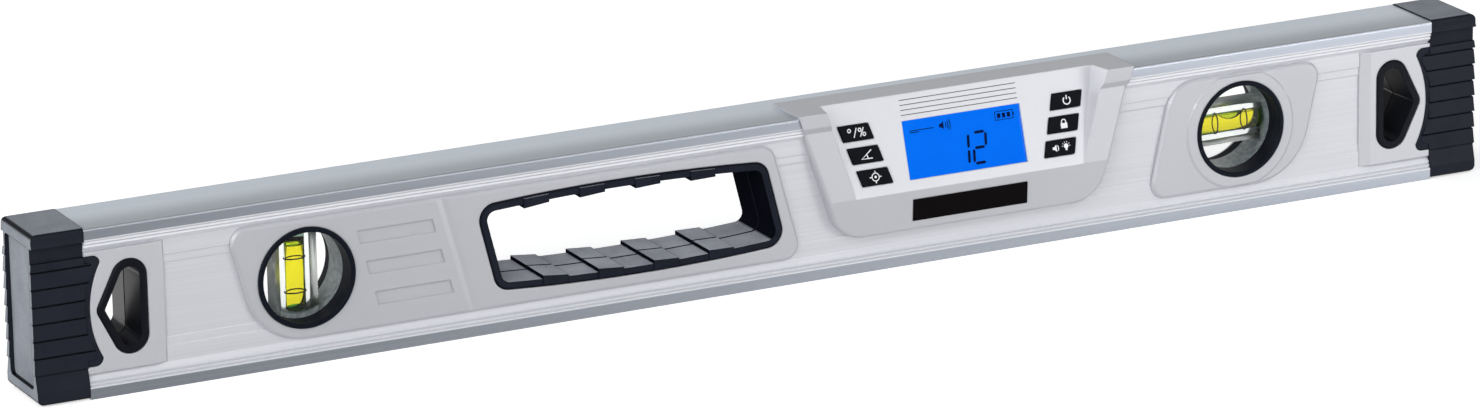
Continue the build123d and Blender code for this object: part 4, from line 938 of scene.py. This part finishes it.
def strokes(lines, width):
    """Flat ink strokes along lines of (x, y) points in mm; one that ends where it starts is closed."""
    curve = bpy.data.curves.new("strokes", "CURVE")
    curve.dimensions = "3D"
    curve.bevel_depth = width / 2 * MM
    curve.bevel_resolution = 2
    curve.use_fill_caps = True
    for points in lines:
        closed = points[0] == points[-1]
        add_line(curve, points[:-1] if closed else points, closed, MM)
    mesh = curve_mesh(curve)
    mesh.transform(Matrix.Diagonal((1, 1, 2 * INK / (width * MM), 1)))
    return mesh


def filled(outlines):
    """Flat ink patches inside outlines of (x, y) points in millimetres."""
    curve = bpy.data.curves.new("filled", "CURVE")
    curve.dimensions = "2D"
    curve.fill_mode = "BOTH"
    curve.extrude = INK
    for points in outlines:
        add_line(curve, points, True, MM)
    return curve_mesh(curve)


def arc(x, y, radius, start, end, steps=24):
    """Points on an arc in millimetres, angles in degrees."""
    return [(x + px, y + py) for px, py in circle(radius, radians(start), radians(end), steps)]


def box(x, y, width, height):
    return [(x, y), (x + width, y), (x + width, y + height), (x, y + height)]


print("ink:", round(2 * INK / MM, 2), "mm thick")

# %% Inks and the lit screen
# Enamel ink is a flat, slightly raised film. Liquid crystal gives no mirror image under its lens: the
# screen is lit from behind in an even blue, and its segments are a dark shade of the same blue.
white_ink = inner_material("enamel_print_white", "#E4E5E8", "#EEEFF1", 1 * MM, 0, 0.5)
grey_ink = inner_material("enamel_print_grey", "#4A4B4F", "#55565A", 1 * MM, 0, 0.5)
segment_ink = inner_material("liquid_crystal_dark", "#04123C", "#061748", 1 * MM, 0, 0.4, 0.0)

backlit_screen, tree = new_material("liquid_crystal_backlit")
tone = drifting(tree, 25 * MM, "#006CF4", "#0075FC")[1]
lit = add(tree, "ShaderNodeBsdfPrincipled", {
    "Base Color": (0, 0, 0, 1), "Roughness": 0.6, "Specular IOR Level": 0.0, "Emission Color": tone,
    "Emission Strength": 1.0,
})
add(tree, "ShaderNodeOutputMaterial", {"Surface": lit.outputs[0]})
dress("lcd_module", backlit_screen)
dress("display_lens", lens_acrylic)
print("screen lit")

# %% [markdown]
# ## What the screen shows
# The liquid crystal shows a plain number in slanted seven-segment digits, a bar, a small loudspeaker and
# a battery. Each segment is a short bar with pointed ends. The signs lie just in front of the lit
# module, under the lens.

# %% Digits in seven segments
DIGIT_WIDTH, DIGIT_HEIGHT, DIGIT_FOOT = 5.2, 11.6, 6.4
DIGIT_SLANT = 0.09
SEGMENT_HALF, SEGMENT_GAP = 0.55, 0.35
SEGMENTS = {"1": "bc", "2": "abged"}


def segment(x0, y0, x1, y1):
    """A bar with pointed ends from one point to the other."""
    along = Vector((x1 - x0, y1 - y0)).normalized()
    across = Vector((-along.y, along.x)) * SEGMENT_HALF
    start = Vector((x0, y0)) + along * SEGMENT_GAP
    end = Vector((x1, y1)) - along * SEGMENT_GAP
    point = along * SEGMENT_HALF
    corners = [start, start + point + across, end - point + across, end, end - point - across,
               start + point - across]
    return [(p.x + DIGIT_SLANT * p.y, p.y) for p in corners]


def digit(name, left):
    """The lit segments of a digit, lettered from the top round to the middle."""
    right = left + DIGIT_WIDTH
    foot, middle, top = (DIGIT_FOOT + DIGIT_HEIGHT * share for share in (0, 0.5, 1))
    ends = {
        "a": (left, top, right, top), "b": (right, middle, right, top), "c": (right, foot, right, middle),
        "d": (left, foot, right, foot), "e": (left, foot, left, middle), "f": (left, middle, left, top),
        "g": (left, middle, right, middle),
    }
    return [segment(*ends[key]) for key in SEGMENTS[name]]


number = filled(digit("1", -4.2) + digit("2", 3.2))
print("number:", len(number.polygons), "faces")

# %% Screen picture
SCREEN_OUT = -2.08 * MM
CELL_PITCH = 2.1
bar = strokes([[(-21.4, 22.2), (-11.2, 22.2)], [(-21.4, 21.5), (-17.5, 21.5)]], 0.35)
speaker = filled([[(-8.9, 21.8), (-8.0, 21.8), (-7.0, 20.9), (-7.0, 24.1), (-8.0, 23.2), (-8.9, 23.2)]])
waves = strokes([arc(-7.6, 22.5, 1.6 + 0.9 * i, -35, 35) for i in range(3)], 0.4)
case = box(15.0, 21.2, 7.6, 3.2)
battery = strokes([case + case[:1], [(22.9, 22.2), (22.9, 23.4)]], 0.4)
cells = filled([box(15.9 + CELL_PITCH * i, 21.9, 1.4, 1.8) for i in range(3)])
place_piece("screen_picture", join(number, bar, speaker, waves, battery, cells), on_panel(SCREEN_OUT),
            segment_ink, "level", "black_print")

# %% Ruled lines above the screen
RULE_LEFT, RULE_RIGHT, RULE_WIDTH = -25.0, 24.5, 0.32
RULE_TOP, RULE_PITCH, RULE_COUNT = 34.2, 1.9, 4
heights = [RULE_TOP - RULE_PITCH * i for i in range(RULE_COUNT)]
rules = strokes([[(RULE_LEFT, y), (RULE_RIGHT, y)] for y in heights], RULE_WIDTH)
place_piece("panel_rules", rules, on_panel(INK / 2), grey_ink, "level", "black_print")

# %% [markdown]
# ## Signs on the keys
# The keys carry plain signs that any such tool could have: power, a lock for a held reading, sound and
# light, a change of unit, an angle from a reference and a target for setting true. Each sign rides on
# its own key, so that it moves when the key is pressed.


# %% Signs of the right keys
def power_sign():
    return strokes([arc(0, -0.1, 1.5, 130, 410), [(0, 0.3), (0, 1.9)]], 0.5)


def lock_sign():
    shackle = [(-0.9, 0.2), (-0.9, 0.8)] + arc(0, 0.8, 0.9, 180, 0, 12) + [(0.9, 0.2)]
    return join(filled([box(-1.4, -1.7, 2.8, 2.0)]), strokes([shackle], 0.45))


def sound_and_light_sign():
    horn = filled([[(-3.6, -0.5), (-2.9, -0.5), (-1.9, -1.4), (-1.9, 1.4), (-2.9, 0.5), (-3.6, 0.5)]])
    wave = strokes([arc(-2.6, 0, 1.5, -40, 40, 10)], 0.4)
    x, y = 2.2, 0.35
    bulb = filled([arc(x, y, 0.95, -60, 240, 24) + [(x - 0.35, -1.3), (x + 0.35, -1.3)]])
    near, far = (arc(x, y, radius, 0, 180, 5) for radius in (1.35, 1.8))
    rays = strokes([list(ends) for ends in zip(near, far)], 0.28)
    return join(horn, wave, bulb, rays)


print("signs: power, lock, sound and light")


# %% Signs of the left keys
def closed_ring(x, y, radius):
    points = arc(x, y, radius, 0, 360)[:-1]
    return points + points[:1]


def unit_sign():
    degree = closed_ring(-2.9, 1.0, 0.62)
    slash = [(-1.2, -1.8), (0.2, 1.8)]
    percent = [closed_ring(1.5, 0.9, 0.6), closed_ring(3.2, -0.9, 0.6), [(1.5, -1.7), (3.2, 1.7)]]
    return strokes([degree, slash] + percent, 0.42)


def angle_sign():
    return strokes([[(2.4, 1.7), (-2.0, -1.5), (2.6, -1.5)], arc(-2.0, -1.5, 2.7, 2, 34, 10)], 0.48)


def target_sign():
    ticks = [[(-2.5, 0), (-1.5, 0)], [(1.5, 0), (2.5, 0)], [(0, -2.4), (0, -1.5)], [(0, 1.5), (0, 2.4)]]
    return join(strokes([closed_ring(0, 0, 1.5)] + ticks, 0.4), filled([arc(0, 0, 0.5, 0, 345)]))


print("signs: unit, angle, target")

# %% Each sign on its key
KEY_OUT = 0.8 * MM
KEY_TOP = Vector((44.8, 24.8)) * MM
KEY_STEP = Vector((-2.63, -8.75)) * MM
ROWS = ("top", "middle", "bottom")
SIGNS = {
    "left": (-1, unit_sign, angle_sign, target_sign),
    "right": (1, power_sign, lock_sign, sound_and_light_sign),
}
for hand, (side, *signs) in SIGNS.items():
    for i, (row, sign) in enumerate(zip(ROWS, signs)):
        place = KEY_TOP + i * KEY_STEP
        move = Matrix.Translation((side * place.x, place.y, 0))
        place_piece("sign_%s_%s" % (hand, row), sign(), on_panel(KEY_OUT + INK / 2) @ move, white_ink,
                    "key_%s_%s" % (hand, row), "key_rubber")
